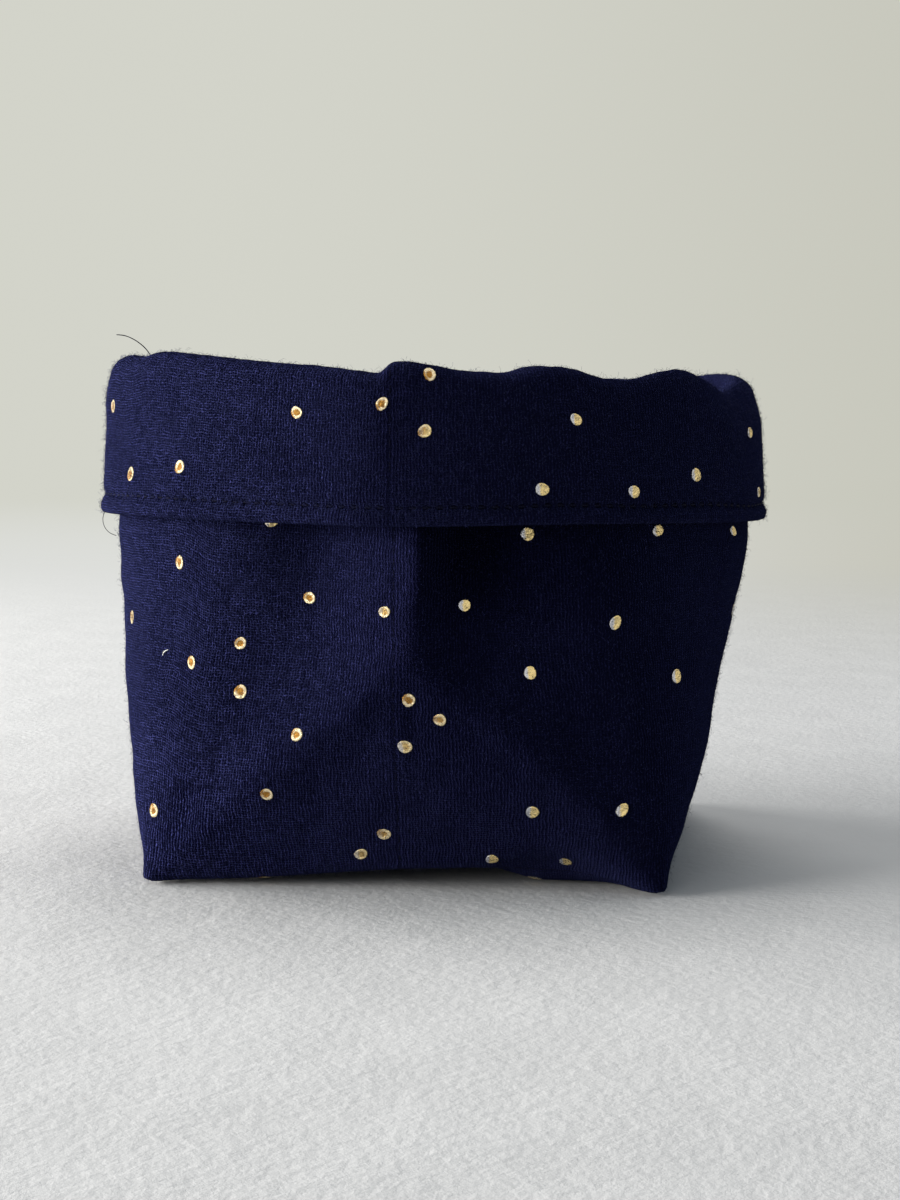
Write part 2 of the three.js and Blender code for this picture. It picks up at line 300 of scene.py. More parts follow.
# Folds of the wall: how far each stands out, its place across and half-width, and the heights
# between which it grows to its full depth.
WALL_FOLDS = [
    (-1.2, 36, 18, 56, 77), (0.5, 38, 9, 38, 62), (-1.7, -21, 9, 34, 60), (-1.6, -16, 15, 56, 77),
    (0.5, -42, 10, 40, 66), (0.5, 150, 10, 38, 62), (-0.7, 186, 12, 38, 62), (-0.6, -188, 10, 38, 62),
    (0.5, -118, 12, 38, 62),
]
# Hollows and swellings with a middle: how far each stands out, then its place and half-width across
# and up. The last is a short pinch beside the seam, just under the apex of the base triangle.
WALL_SWELLS = [(-1.9, 93, 30, 38, 24), (0.8, -90, 34, 14, 14), (-0.5, 3.8, 1.9, RIDGE_APEX - 12, 6)]
# Folds of the cuff: how far each stands out, its place across and half-width.
CUFF_FOLDS = [(0.9, 14, 10), (-0.3, 36, 9), (0.4, -24, 12), (-0.9, -96, 26)]


def wall_relief(across, height):
    """How far the wall stands out from its plain shape: a valley beside the front ridge, the folds,
    the swellings, and seeded waves that fade out at the base."""
    valley = smoothstep(4.5, 13, across) * (1 - smoothstep(17, 42, across))
    relief = -valley * (3.2 * smoothstep(38, 62, height) + 3.8 * smoothstep(56, 77, height))
    for stands, middle, width, low, high in WALL_FOLDS:
        relief = relief + stands * bell(across, middle, width) * smoothstep(low, high, height)
    for stands, middle, width, up, reach in WALL_SWELLS:
        relief = relief + stands * bell(across, middle, width) * bell(height, up, reach)
    waves = slow_waves(across, height) + small_waves(across, height)
    return relief + waves * smoothstep(1, 16, height)


def cuff_relief(across, height):
    """The same for the cuff: it flares towards its hem and never reaches in to the wall."""
    down = np.clip((WALL_TOP - height) / (WALL_TOP - HEM), 0, 1)
    folds = sum(stands * bell(across, middle, width) for stands, middle, width in CUFF_FOLDS)
    flare = 0.2 + 0.6 * down * bell(across, 0, 60) + 0.2 * down
    return flare + (folds + cuff_waves(across, height)) * smoothstep(0, 0.5, down)


def rim_lean(across, height):
    """How far the rim leans in at the bin's sides, over its top few millimetres."""
    beside = bell(across, 92, 22) + 0.8 * bell(across, -92, 20) + 0.5 * bell(np.abs(across), 132, 30)
    return 2.4 * beside * smoothstep(WALL_TOP - 8, RIM + 2, height)


def rim_lift(across, height):
    """How far the wall is stretched upwards by the waves of the rim."""
    pucker = RIM_BUMP * smoothstep(-3.2, 0.4, across) * (1 - smoothstep(1.5, 15, across))
    near_rim = np.exp(-np.clip(WALL_TOP - height, 0, None) / 4)
    return smooth_through(RIM_WAVES, across) * smoothstep(52, WALL_TOP, height) + pucker * near_rim


def seam_groove(distance):
    """Depth of the groove at a distance from a seam: a parabola."""
    return SEAM_DIP * np.clip(1 - distance / SEAM_REACH, 0, 1) ** 2


def base_and_wall(across, up, depth, groove):
    """Points of the base and the wall, at a depth behind the outer face.

    Base and wall are planes and cones that meet at a sharp edge. Near the edge a point's way up and
    its way inwards both follow the ramp, so the edge turns through a parabola. The front and back
    edges carry a seam, which lies under the bin except at its corners. groove is added to the
    depth, times the seam groove."""
    from_seam = SIDE - np.abs(SIDE - np.abs(across))
    beyond = from_seam - HALF
    is_side = beyond >= 0
    along_edge = np.abs(beyond)
    shrink = 1 - depth / HALF
    less = ROUNDING_LOST * depth

    side_up, side_beyond = np.broadcast_arrays(up, beyond)
    on_base = side_up < 0
    to_seam = np.where(
        on_base,
        np.minimum(HALF + side_up, side_beyond),
        np.where(side_beyond < 0, np.minimum(from_seam, side_up), from_seam),
    )
    depth = depth + groove * seam_groove(np.maximum(to_seam, 0))

    def rounding(distance, extra=0.0):
        wide = CORNER_ROUNDING + (BASE_ROUNDING - CORNER_ROUNDING) * smoothstep(0, 22, distance) + extra
        return np.maximum(wide - less, 0.4)

    def plump(place):
        return PLUMP_ROUNDING * bell(place, 33, 12) * smoothstep(0, 8, HALF - place)

    def tucked(distance):
        return SEAM_UNDER * smoothstep(0, 12, distance)

    corner = np.maximum(CORNER_ROUNDING - less, 0.4)
    edge = rounding(along_edge, plump(across))
    past_edge = np.where(is_side, up, up - tucked(along_edge))
    past_edge = np.where(past_edge > 0, past_edge * (1 - depth / WALL_TOP), past_edge * shrink)
    rise = ramp(past_edge, edge)
    inward = ramp(-past_edge, edge)
    held = np.clip(ramp(-past_edge, corner) / (corner / 4), 0, 1)

    near = along_edge * shrink
    front_shift = (ramp(near, corner) - near) * held
    front_rise = ramp(-near, corner) * held
    inside = np.maximum(-up, 0)
    tuck = tucked(inside)
    from_edge = (tuck + along_edge * (1 - tuck / HALF)) * shrink
    front_right = (across > 0) & (across < SIDE)
    base_edge = rounding(inside, np.where(front_right, plump(HALF - inside), 0))
    side_shift = (ramp(from_edge, base_edge) - near) * held
    side_rise = ramp(-from_edge, base_edge) * held

    height = ramp(past_edge, 3.0)
    shift = smooth_through(FRONT_RIDGE_SHIFT, height)
    relief = wall_relief(across, height) - rim_lean(across, height)
    x, y = wall_at(across, height, relief - depth, shift)
    x = x - np.sign(x) * np.where(is_side, inward, front_shift)
    y = y - np.sign(y) * np.where(is_side, side_shift, inward)
    z = depth + rise + np.where(is_side, side_rise, front_rise) + rim_lift(across, height)
    return stand_on_floor(x, y, z)


def sewn_base_and_wall(across, up, depth, groove):
    """The same, with the base's front and back edges drawn out to the bottom edges of the front and
    the back, which they are sewn to. A point of the base moves by the step between its row's end and
    the matching place of the wall, times exp(-(b / 6)^2) at b millimetres from the sewn edge."""
    points = base_and_wall(across, up, depth, groove)
    sign = np.sign(across[:, -1:])
    inside = np.clip(-up, 0, HALF)
    for wall_end, base_end, apart in (
        (HALF - inside, HALF, np.abs(across) - HALF),
        (2 * SIDE - HALF + inside, 2 * SIDE - HALF, 2 * SIDE - HALF - np.abs(across)),
    ):
        wall_edge = base_and_wall(sign * wall_end, np.zeros_like(inside), depth, groove)
        base_edge = base_and_wall(sign * base_end, -inside, depth, groove)
        near = bell(apart, 0, 6) * (apart >= 0) * (up < 0)
        points = points + near[..., None] * (wall_edge - base_edge)
    return points


def stand_on_floor(x, y, z):
    """Lifts the middles of the base's edges off the floor, and its inside a little and unevenly, and
    draws its corners out and down."""
    fading = np.clip(1 - z / 42, 0, 1) ** 2
    run = 24 - 17 * smoothstep(8, 30, x)
    front = smooth_through(FRONT_LIFT, x) * bell(np.maximum(y + HALF, 0), 0, run)
    back = smooth_through(BACK_LIFT, x) * bell(np.maximum(HALF - y, 0), 0, 24)
    sides = smooth_through(SIDE_LIFT, y) * bell(np.maximum(HALF - np.abs(x), 0), 0, 14)
    middle = 0.25 * (1 + base_waves(x, y)) * np.clip(1 - np.maximum(np.abs(x), np.abs(y)) / HALF, 0, 1)
    lifted = z + (front + back + sides) * fading + middle * np.clip(1 - z / 6, 0, 1)
    corner = np.hypot(np.abs(x) - HALF, np.abs(y) - HALF)
    ear = np.exp(-((corner / 4.5) ** 2) - (z / 5) ** 2)
    return np.stack([
        x + np.sign(x) * EAR * ear,
        y + np.sign(y) * EAR * ear,
        lifted - 0.55 * z * ear,
    ], -1)


def over_the_rim(across, turn, depth):
    """Points of the half-circle over the rim. turn is 180 degrees at the wall and 0 at the cuff, and
    the radius is the fold's inner radius plus the depth."""
    radius = FOLD_GAP + depth
    sine = np.sin(np.radians(turn))
    plump = 0.25 * small_waves(across * 1.7, turn * 0.1) * sine
    out = FOLD_GAP + radius * np.cos(np.radians(turn))
    height = WALL_TOP + radius * sine * (1 + plump)
    cuffwards = smoothstep(180, 0, turn)
    relief = wall_relief(across, WALL_TOP) * (1 - cuffwards) + cuff_relief(across, WALL_TOP) * cuffwards
    wall_shift = smooth_through(FRONT_RIDGE_SHIFT, WALL_TOP)
    shift = wall_shift + (CUFF_RIDGE_SHIFT - wall_shift) * cuffwards
    lean = rim_lean(across, np.minimum(height, RIM))
    x, y = wall_at(across, np.minimum(height, RIM), out + relief - lean, shift)
    return np.stack(np.broadcast_arrays(x, y, height + rim_lift(across, WALL_TOP)), -1)


# The cuff's section from the rim fold to the hem, as (out from the wall, height) at the two faces of
# each layer. The welt below the topstitch holds the seam allowances, so it is plump, and the two
# cloths meet under it.
CUFF_PATHS = {
    "lining": {
        LINING: [(3.5, WALL_TOP), (3.5, 96), (3.5, 86), (3.4, TOPSTITCH + 1.3), (2.95, TOPSTITCH),
                 (3.35, TOPSTITCH - 0.8), (3.75, TOPSTITCH - 1.8), (3.75, HEM + 1.2), (3.25, HEM + 0.2),
                 (2.6, HEM - 0.1)],
        LINING - GAUZE: [(2.9, WALL_TOP), (2.9, 96), (2.9, 86), (2.85, TOPSTITCH + 1.4),
                         (2.3, TOPSTITCH), (2.9, TOPSTITCH - 1.1), (3.35, TOPSTITCH - 1.9),
                         (3.35, HEM + 1.4), (2.9, HEM + 0.8), (2.6, HEM + 0.5)],
    },
    "fleece": {
        FLEECE_FAR: [(2.6, WALL_TOP), (2.6, 96), (2.6, 90), (2.6, TOPSTITCH + 2.0)],
        FLEECE_NEAR: [(1.9, WALL_TOP), (1.9, 96), (1.9, 90), (1.9, TOPSTITCH + 2.0)],
    },
    "outer": {
        0.0: [(1.0, WALL_TOP), (1.0, 96), (1.0, 86), (1.05, TOPSTITCH), (0.95, TOPSTITCH - 2.2),
              (1.3, HEM + 0.5), (2.4, HEM - 0.1)],
        GAUZE: [(1.6, WALL_TOP), (1.6, 96), (1.6, 86), (1.75, TOPSTITCH), (1.55, TOPSTITCH - 2.2),
                (1.8, HEM + 0.9), (2.45, HEM + 0.5)],
    },
}


def cuff_knots(layer):
    """Where each point of a layer's cuff section lies along it, as a length in millimetres."""
    path = np.array(list(CUFF_PATHS[layer].values())[0])
    return np.concatenate([[0], np.cumsum(np.hypot(*np.diff(path, axis=0).T))])


def down_the_cuff(layer, across, travel, depth):
    """Points of the cuff. travel is the length from the fold towards the hem, and the section is read
    between the layer's two faces according to the depth."""
    (far, far_path), (near, near_path) = CUFF_PATHS[layer].items()
    knots = cuff_knots(layer)

    def section(path):
        return [smooth_through(list(zip(knots, [p[axis] for p in path])), travel) for axis in (0, 1)]

    (far_out, far_height), (near_out, near_height) = section(far_path), section(near_path)
    share = (depth - near) / (far - near)
    out = near_out + (far_out - near_out) * share
    height = near_height + (far_height - near_height) * share
    relief = cuff_relief(across, height) - rim_lean(across, height)
    x, y = wall_at(across, height, out + relief, CUFF_RIDGE_SHIFT)
    down = np.clip((WALL_TOP - height) / (WALL_TOP - HEM), 0, 1)
    fading = rim_lift(across, WALL_TOP) - smooth_through(RIM_WAVES, across)
    waves = smooth_through(RIM_WAVES, across) * (1 - down) + smooth_through(HEM_WAVES, across) * down
    pucker = fading * np.exp(-np.clip(WALL_TOP - height, 0, None) / 4)
    return np.stack(np.broadcast_arrays(x, y, height + waves + pucker), -1)


# ---- Cloth panels ------------------------------------------------------------------------------


def spaced(start, end, step, fine_start=(), fine_end=()):
    """Even steps from start to end, with extra values close to either end."""
    count = max(int(round(abs(end - start) / step)), 1)
    even = np.linspace(start, end, count + 1)
    extra = [start + x for x in fine_start] + [end - x for x in fine_end]
    return np.unique(np.concatenate([even, extra]))


NEAR_SEAM = (0.2, 0.42, 0.68)  # rows and columns that shape the groove beside a seam
SEAM_GAP = 0.003  # from a panel's edge to the seam's line
EDGE_BAND = 10  # height up to which the wall's rows are close together


def cloth(layer, side, face, back, step, inset, rows):
    """One panel of one layer as two grids of points, its visible face and its back, over the same
    places of the cloth. The wall, fold and cuff take every column. The base takes the middle ones,
    between the two notches that the boxed corners are sewn from."""
    gap = SEAM_GAP + inset
    notch = HALF + inset
    # The outer cloth has close columns beside the front seam, where it is pinched.
    fine = tuple(np.arange(1.1, 7.5, 0.4)) if layer == "outer" else ()
    across = np.unique(np.concatenate([
        spaced(gap, notch, step, NEAR_SEAM + fine, NEAR_SEAM),
        spaced(notch, 2 * SIDE - notch, step, NEAR_SEAM, NEAR_SEAM),
        spaced(2 * SIDE - notch, 2 * SIDE - gap, step, NEAR_SEAM, NEAR_SEAM),
    ]))
    if side == "left":
        across = -across[::-1]
    base_rows = spaced(-HALF + gap, inset, rows["base"], NEAR_SEAM)
    edge_rows = spaced(inset, EDGE_BAND, rows["edge"], NEAR_SEAM)[1:]
    wall_rows = spaced(EDGE_BAND, WALL_TOP - 1.5, rows["wall"])[1:]
    up = np.concatenate([base_rows, edge_rows, wall_rows])
    turns = np.linspace(180, 0, rows["fold"])
    travel = rows["cuff"]
    outwards = 1 if layer == "outer" else -1

    from_seam = SIDE - np.abs(SIDE - np.abs(across))
    groove = 0 if layer == "fleece" else outwards

    def points(depth):
        mouth_depth = depth + groove * seam_groove(from_seam - inset)
        wall = sewn_base_and_wall(across[None, :], up[:, None], depth, groove)
        # The base's inner edge is brought to the middle, so that the two panels meet there.
        past_middle = wall[0, :, 0] - gap * np.sign(across)
        wall[..., 0] -= past_middle * np.clip(-up[:, None] / HALF, 0, 1) ** 4
        return np.concatenate([
            wall,
            over_the_rim(across[None, :], turns[:, None], mouth_depth[None, :]),
            down_the_cuff(layer, across[None, :], travel[1:, None], mouth_depth[None, :]),
        ])

    fold_length = math.pi * (FOLD_GAP + face)
    place = np.concatenate([
        up,
        WALL_TOP + fold_length * np.linspace(0, 1, len(turns)),
        WALL_TOP + fold_length + travel[1:],
    ])
    middle = (place[1:] + place[:-1]) / 2
    column = np.abs((across[1:] + across[:-1]) / 2)
    keep = (middle > inset)[:, None] | ((column > notch) & (column < 2 * SIDE - notch))[None, :]
    return {
        "across": across, "up": place, "face": points(face), "back": points(back), "keep": keep,
        "outwards": outwards, "cuff_start": len(up) + len(turns) - 1,
    }


def cloth_faces(panel):
    """Four-sided faces over the kept cells of both grids, and a strip along every free edge. An edge
    is free where no neighbouring face runs along it the other way."""
    rows, columns = panel["face"].shape[:2]
    index = np.arange(rows * columns).reshape(rows, columns)
    corners = [index[:-1, :-1], index[:-1, 1:], index[1:, 1:], index[1:, :-1]]
    quads = np.stack([c[panel["keep"]] for c in corners], 1)
    if panel["outwards"] < 0:
        quads = quads[:, ::-1]
    start = quads.ravel()
    end = np.roll(quads, -1, 1).ravel()
    count = rows * columns
    free = ~np.isin(start.astype(np.int64) * count + end, end.astype(np.int64) * count + start)
    start, end = start[free], end[free]
    strip = np.stack([end, start, start + count, end + count], 1)
    faces = np.concatenate([quads, quads[:, ::-1] + count, strip])
    return faces, np.arange(len(faces)) < 2 * len(quads)


def add_object(name, data):
    """An object at the origin, in the scene."""
    added = bpy.data.objects.new(name, data)
    bpy.context.scene.collection.objects.link(added)
    return added


def new_piece(name, points, corners, sizes, smooth, material, uv_map=None, places=None):
    """A mesh object from points in millimetres, the corners of its faces one after another, and each
    face's number of corners. smooth says which faces are smooth. places, one for each point, become
    a UV map."""
    mesh = bpy.data.meshes.new(name)
    mesh.vertices.add(len(points))
    mesh.vertices.foreach_set("co", (points * MM).astype(np.float32).ravel())
    mesh.loops.add(len(corners))
    mesh.loops.foreach_set("vertex_index", corners.astype(np.int32))
    mesh.polygons.add(len(sizes))
    starts = np.cumsum(sizes) - sizes
    mesh.polygons.foreach_set("loop_start", starts.astype(np.int32))
    mesh.polygons.foreach_set("use_smooth", np.full(len(sizes), smooth))
    if places is not None:
        layer = mesh.uv_layers.new(name=uv_map)
        layer.data.foreach_set("uv", places[corners].astype(np.float32).ravel())
    mesh.update(calc_edges=True)
    mesh.validate()
    mesh.materials.append(material)
    return add_object(name, mesh)


def finish_piece(piece, slot, *nodes):
    """The piece rides with the bin and stands for the given nodes. Its slot is not used."""
    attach(piece, "root")
    if nodes:
        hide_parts(*nodes)


def panel_piece(name, panel, material):
    """A panel's mesh, with its two grids joined along every edge."""
    points = np.concatenate([panel["face"].reshape(-1, 3), panel["back"].reshape(-1, 3)])
    across, up = np.meshgrid(panel["across"], panel["up"])
    places = np.stack([across.ravel(), up.ravel()], 1)
    faces, smooth = cloth_faces(panel)
    used, corners = np.unique(faces, return_inverse=True)
    sizes = np.full(len(faces), 4)
    corners = corners.ravel()
    places = np.concatenate([places, places])[used]
    piece = new_piece(name, points[used], corners, sizes, smooth, material, "cloth", places * MM)
    across, up = places[corners].T
    # Light and shade are painted into the cloth's colour through an attribute: the outer cloth
    # takes the painted light and shade below, and the lining, whose cuff shows, a painted shade
    # along its front seam, at the cuff's ridge.
    tone_shift = painted_light(across, up) if panel["outwards"] > 0 else -0.24 * bell(across, -1, 8)
    layer = piece.data.attributes.new("painted_light", "FLOAT", "CORNER")
    layer.data.foreach_set("value", tone_shift.astype(np.float32))
    return piece


def painted_light(across, up):
    """How much the cloth is painted paler where light falls, or darker where this is below zero and
    shade lies. Painted shade under the cuff: most in the valley beside the front ridge, less in the
    shallow fold left of it. Painted shade on the right of the front, away from the window, and just
    below the creases of the front's triangle. Painted light along the base's front edge, and
    towards the left front corner, which faces the window."""
    # Each term below is painted light where it adds and painted shade where it takes away.
    valley = smoothstep(2, 8, across) * (1 - 0.75 * smoothstep(32, 60, across))
    # Painted shade under the cuff's hem.
    painted_cuff_shade = smoothstep(55, 73, up) * (0.50 * bell(across, -25, 15) + 0.68 * valley)
    right = smoothstep(-2, 4, across)
    front_right = 0.24 * right * (1 - smoothstep(40, 70, across)) * (1 - smoothstep(60, 72, up))
    low = 1 - smoothstep(24, 42, up)
    corner = smoothstep(-16, -40, across) * smoothstep(-84, -66, across) * low
    edge = bell(across, -56, 11) * (1 - smoothstep(6, 40, up))
    crease = RIDGE_APEX * (1 - np.abs(across) / HALF)
    near_middle = smoothstep(34, 14, np.abs(across))
    below_crease = bell(up - crease, -3, 8) * near_middle * (0.34 - 0.14 * right)
    # Painted light along the base's front edge.
    painted_edge_light = 0.28 * (1 - smoothstep(1, 6, up)) * (1 - smoothstep(36, 50, np.abs(across)))
    return 0.42 * corner + 0.62 * edge + painted_edge_light - painted_cuff_shade - front_right - below_crease


def on_cloth(panel, across, up):
    """Position, outward normal, and the directions of growing across and up, at places of a panel's
    visible face, read between its grid's rows and columns."""
    column = np.interp(across, panel["across"], np.arange(len(panel["across"])))
    row = np.interp(up, panel["up"], np.arange(len(panel["up"])))
    if "slopes" not in panel:
        panel["slopes"] = [np.gradient(panel["face"], axis=axis) for axis in (1, 0)]
    along, upwards = (unit(read_between(grid, row, column)) for grid in panel["slopes"])
    normal = unit(np.cross(along, upwards)) * panel["outwards"]
    return read_between(panel["face"], row, column), normal, along, upwards


def unit(vectors):
    """The vectors at length one."""
    return vectors / np.maximum(np.linalg.norm(vectors, axis=-1, keepdims=True), 1e-9)


# ---- Threads, fibres and dots ------------------------------------------------------------------


def tubes(paths, radii, sides):
    """Round closed tubes along many paths at once: paths is (tube, point, xyz). A path's first and
    last points are the tube's two tips, and there is a ring round every point between them."""
    count, steps = paths.shape[:2]
    tangent = unit(np.gradient(paths, axis=1))
    upright = np.abs(tangent[:, :1, 2:3]) > 0.8
    helper = np.where(upright, [[[1.0, 0.0, 0.0]]], [[[0.0, 0.0, 1.0]]])
    first = unit(np.cross(tangent, np.broadcast_to(helper, tangent.shape)))
    second = np.cross(tangent, first)
    angle = np.linspace(0, 2 * math.pi, sides, endpoint=False)[:, None]
    reach = np.broadcast_to(radii, (count, steps))[:, 1:-1, None, None]
    rings = paths[:, 1:-1, None] + reach * (
        np.cos(angle) * first[:, 1:-1, None] + np.sin(angle) * second[:, 1:-1, None]
    )
    points = np.concatenate([rings.reshape(count, -1, 3), paths[:, [0, -1]]], 1)
    return points.reshape(-1, 3), repeated(ring_faces(steps - 2, sides), count, points.shape[1])


def ring_faces(rings, corners):
    """Faces of a closed shape made of rings: the bands between them, then a fan from the first ring
    to one more point and a fan from the last ring to another. A fan's faces name that point twice."""
    index = np.arange(rings * corners).reshape(rings, corners)
    onward = np.roll(index, -1, 1)
    bands = np.stack([index[:-1], index[1:], onward[1:], onward[:-1]], -1).reshape(-1, 4)
    tip = np.full(corners, index.size)
    first_fan = np.stack([index[0], onward[0], tip, tip], 1)
    last_fan = np.stack([onward[-1], index[-1], tip + 1, tip + 1], 1)
    return np.concatenate([bands, first_fan, last_fan])


def repeated(faces, count, points_each):
    """The same faces for each of many copies. A face whose last two corners are alike has three."""
    return (faces[None] + (np.arange(count) * points_each)[:, None, None]).reshape(-1, faces.shape[1])


def tube_piece(name, paths, radii, sides, material):
    """A piece made of many tubes, whose end caps are triangles."""
    points, faces = tubes(paths, radii, sides)
    return mixed_piece(name, points, faces, material)


def mixed_piece(name, points, faces, material, uv_map=None, places=None):
    """A piece of quads and of triangles, which are the quads that name their last corner twice."""
    is_triangle = faces[:, 2] == faces[:, 3]
    corners = np.concatenate([faces[~is_triangle].ravel(), faces[is_triangle, :3].ravel()])
    sizes = np.repeat([4, 3], [(~is_triangle).sum(), is_triangle.sum()])
    return new_piece(name, points, corners, sizes, True, material, uv_map, places)


def stitch_row(panel, across, up, length, gap, lift, radius):
    """Paths of a row of straight stitches, given the row's places on the cloth as two arrays. Each
    stitch rises out of the cloth, runs along it and dives back in."""
    position, normal, _, _ = on_cloth(panel, across, up)
    travelled = np.concatenate([[0], np.cumsum(np.hypot(np.diff(across), np.diff(up)))])
    count = int(travelled[-1] / (length + gap))
    start = (np.arange(count) + 0.5) * travelled[-1] / count
    share = np.linspace(-0.5, 0.5, 8)
    at = start[:, None] + share[None, :] * length
    paths = np.stack([np.interp(at, travelled, position[:, k]) for k in range(3)], -1)
    normals = np.stack([np.interp(at, travelled, normal[:, k]) for k in range(3)], -1)
    height = lift * (1 - (2 * share) ** 4) - radius * 1.6 * (2 * np.abs(share)) ** 6
    return paths + normals * height[None, :, None]


def sewn_thread(node, paths, radius):
    """The thread that stands for a seam's node."""
    finish_piece(tube_piece(f"{node}_thread", paths, radius, 6, THREAD), "navy_thread", node)


DOT_RADIUS = 1.42
DOT_CORNERS = 12
# Of each ring, its share of the radius and its height above the cloth.
DOT_RINGS = np.array([(0.30, 0.05), (0.58, 0.08), (0.80, 0.17), (0.93, 0.16), (1.0, 0.03), (0.96, -0.14)])


def foil_dots(name, panel, places, material):
    """Pressed foil dots. Each is a thin disc of rings that lies on the cloth: a raised rim, a dished
    middle and an edge that is sunk into the gauze, with a seeded wobble of its outline."""
    places = np.asarray(places, float)
    count = len(places)
    draw = np.random.default_rng(count)
    radius = DOT_RADIUS * draw.uniform(0.92, 1.06, (count, 1, 1))
    angle = np.linspace(0, 2 * math.pi, DOT_CORNERS, endpoint=False)
    oval = 0.05 * np.cos(2 * angle + draw.uniform(0, 6.28, (count, 1)))
    lobes = 0.035 * np.cos(3 * angle + draw.uniform(0, 6.28, (count, 1)))
    share, height = DOT_RINGS[:, 0, None], DOT_RINGS[:, 1, None]
    reach = radius * share * (1 + oval + lobes)[:, None, :]
    across = places[:, 0, None, None] + reach * np.cos(angle)
    up = places[:, 1, None, None] + reach * np.sin(angle)
    position, normal, _, _ = on_cloth(panel, across, up)
    lift = height * draw.uniform(0.7, 1.2, (count, 1, 1))
    crinkle = draw.normal(0, 0.018, (count, len(DOT_RINGS), DOT_CORNERS)) * (lift > 0)
    ringed = position + normal * (lift + crinkle)[..., None]
    centre, outward, _, _ = on_cloth(panel, places[:, 0], places[:, 1])
    top = centre + outward * draw.uniform(0.03, 0.08, (count, 1))
    bottom = centre - outward * 0.2
    points = np.concatenate([ringed.reshape(count, -1, 3), top[:, None], bottom[:, None]], 1)
    faces = ring_faces(len(DOT_RINGS), DOT_CORNERS)
    if panel["outwards"] < 0:
        is_fan = faces[:, 2] == faces[:, 3]
        faces = np.where(is_fan[:, None], faces[:, [1, 0, 2, 3]], faces[:, ::-1])
    # The UV map gives each corner's place on its dot, as shares of the radius.
    local = (share[..., None] * np.stack([np.cos(angle), np.sin(angle)], -1)).reshape(-1, 2)
    local = np.tile(np.concatenate([local, [[0, 0], [0, 1]]]), (count, 1))
    faces = repeated(faces, count, points.shape[1])
    return mixed_piece(name, points.reshape(-1, 3), faces, material, "dot", local)


def fibres(panel, count, low, high, seed, length):
    """Paths of fine loose fibres. Each leaves the cloth at a seeded place between two heights of the
    cloth and bends over as it rises."""
    draw = np.random.default_rng(seed)
    across = draw.uniform(panel["across"][0] + 1, panel["across"][-1] - 1, count)
    up = draw.uniform(low, high, count)
    position, normal, along, upwards = on_cloth(panel, across, up)
    turn = draw.uniform(0, 2 * math.pi, (count, 1))
    lying = along * np.cos(turn) + upwards * np.sin(turn)
    long = draw.uniform(*length, (count, 1)) * draw.uniform(0.4, 1, (count, 1))
    steep = draw.uniform(0.15, 0.9, (count, 1))
    curl = draw.uniform(-0.6, 0.6, (count, 1))
    sideways = np.cross(normal, lying)
    share = np.array([0, 0.3, 0.7, 1.0])[None, :, None]
    rise = normal[:, None] * (np.sin(share * 2.2) * steep[:, None] * long[:, None])
    run = lying[:, None] * (share * long[:, None]) * np.sqrt(1 - 0.6 * steep[:, None] ** 2)
    bend = sideways[:, None] * (share**2 * (curl * long)[:, None])
    return position[:, None] - normal[:, None] * 0.08 + rise + run + bend


# ---- Material nodes ----------------------------------------------------------------------------


def feed(tree, node, inputs):
    """Sets each named or numbered input of a node to a value, or links it to another socket."""
    for key, value in inputs.items():
        if isinstance(value, bpy.types.NodeSocket):
            tree.links.new(value, node.inputs[key])
        else:
            node.inputs[key].default_value = value


def add_node(tree, kind, inputs=None, **settings):
    """A shader node with its settings and inputs."""
    node = tree.nodes.new("ShaderNode" + kind)
    for key, value in settings.items():
        setattr(node, key, value)
    feed(tree, node, inputs or {})
    return node


def calc(operation, *values):
    """A Math node's result. The node is added to the tree of its first linked value."""
    tree = next(value for value in values if isinstance(value, bpy.types.NodeSocket)).id_data
    return add_node(tree, "Math", dict(enumerate(values)), operation=operation).outputs[0]


def spread(value, low, high, new_low=0.0, new_high=1.0):
    """A value carried from one range to another, and held at its ends."""
    inputs = {"Value": value, "From Min": low, "From Max": high, "To Min": new_low, "To Max": new_high}
    found = add_node(value.id_data, "MapRange", inputs, interpolation_type="SMOOTHSTEP")
    return found.outputs[0]


def noise(vector, scale, detail=2.0, roughness=0.5):
    """A noise texture's value."""
    inputs = {"Vector": vector, "Scale": scale, "Detail": detail, "Roughness": roughness}
    return add_node(vector.id_data, "TexNoise", inputs).outputs[0]


def blend_colours(factor, first, second):
    """A mix of two colours."""
    inputs = {0: factor, 6: first, 7: second}
    return add_node(factor.id_data, "Mix", inputs, data_type="RGBA").outputs[2]


def axes(vector):
    """A vector's three numbers."""
    return add_node(vector.id_data, "SeparateXYZ", {0: vector}).outputs


def coordinate(tree, kind):
    """A texture coordinate of the given kind."""
    return add_node(tree, "TexCoord").outputs[kind]


def bump(height, strength, distance):
    """A Bump node's normal."""
    inputs = {"Height": height, "Strength": strength, "Distance": distance}
    return add_node(height.id_data, "Bump", inputs).outputs[0]


def new_group(name, inputs, outputs):
    """An empty shader group with named sockets, and its input and output nodes."""
    tree = bpy.data.node_groups.new(name, "ShaderNodeTree")
    kinds = {"vector": "NodeSocketVector", "value": "NodeSocketFloat"}
    for label, kind in inputs.items():
        tree.interface.new_socket(name=label, in_out="INPUT", socket_type=kinds[kind])
    for label, kind in outputs.items():
        tree.interface.new_socket(name=label, in_out="OUTPUT", socket_type=kinds[kind])
    return tree, tree.nodes.new("NodeGroupInput"), tree.nodes.new("NodeGroupOutput")


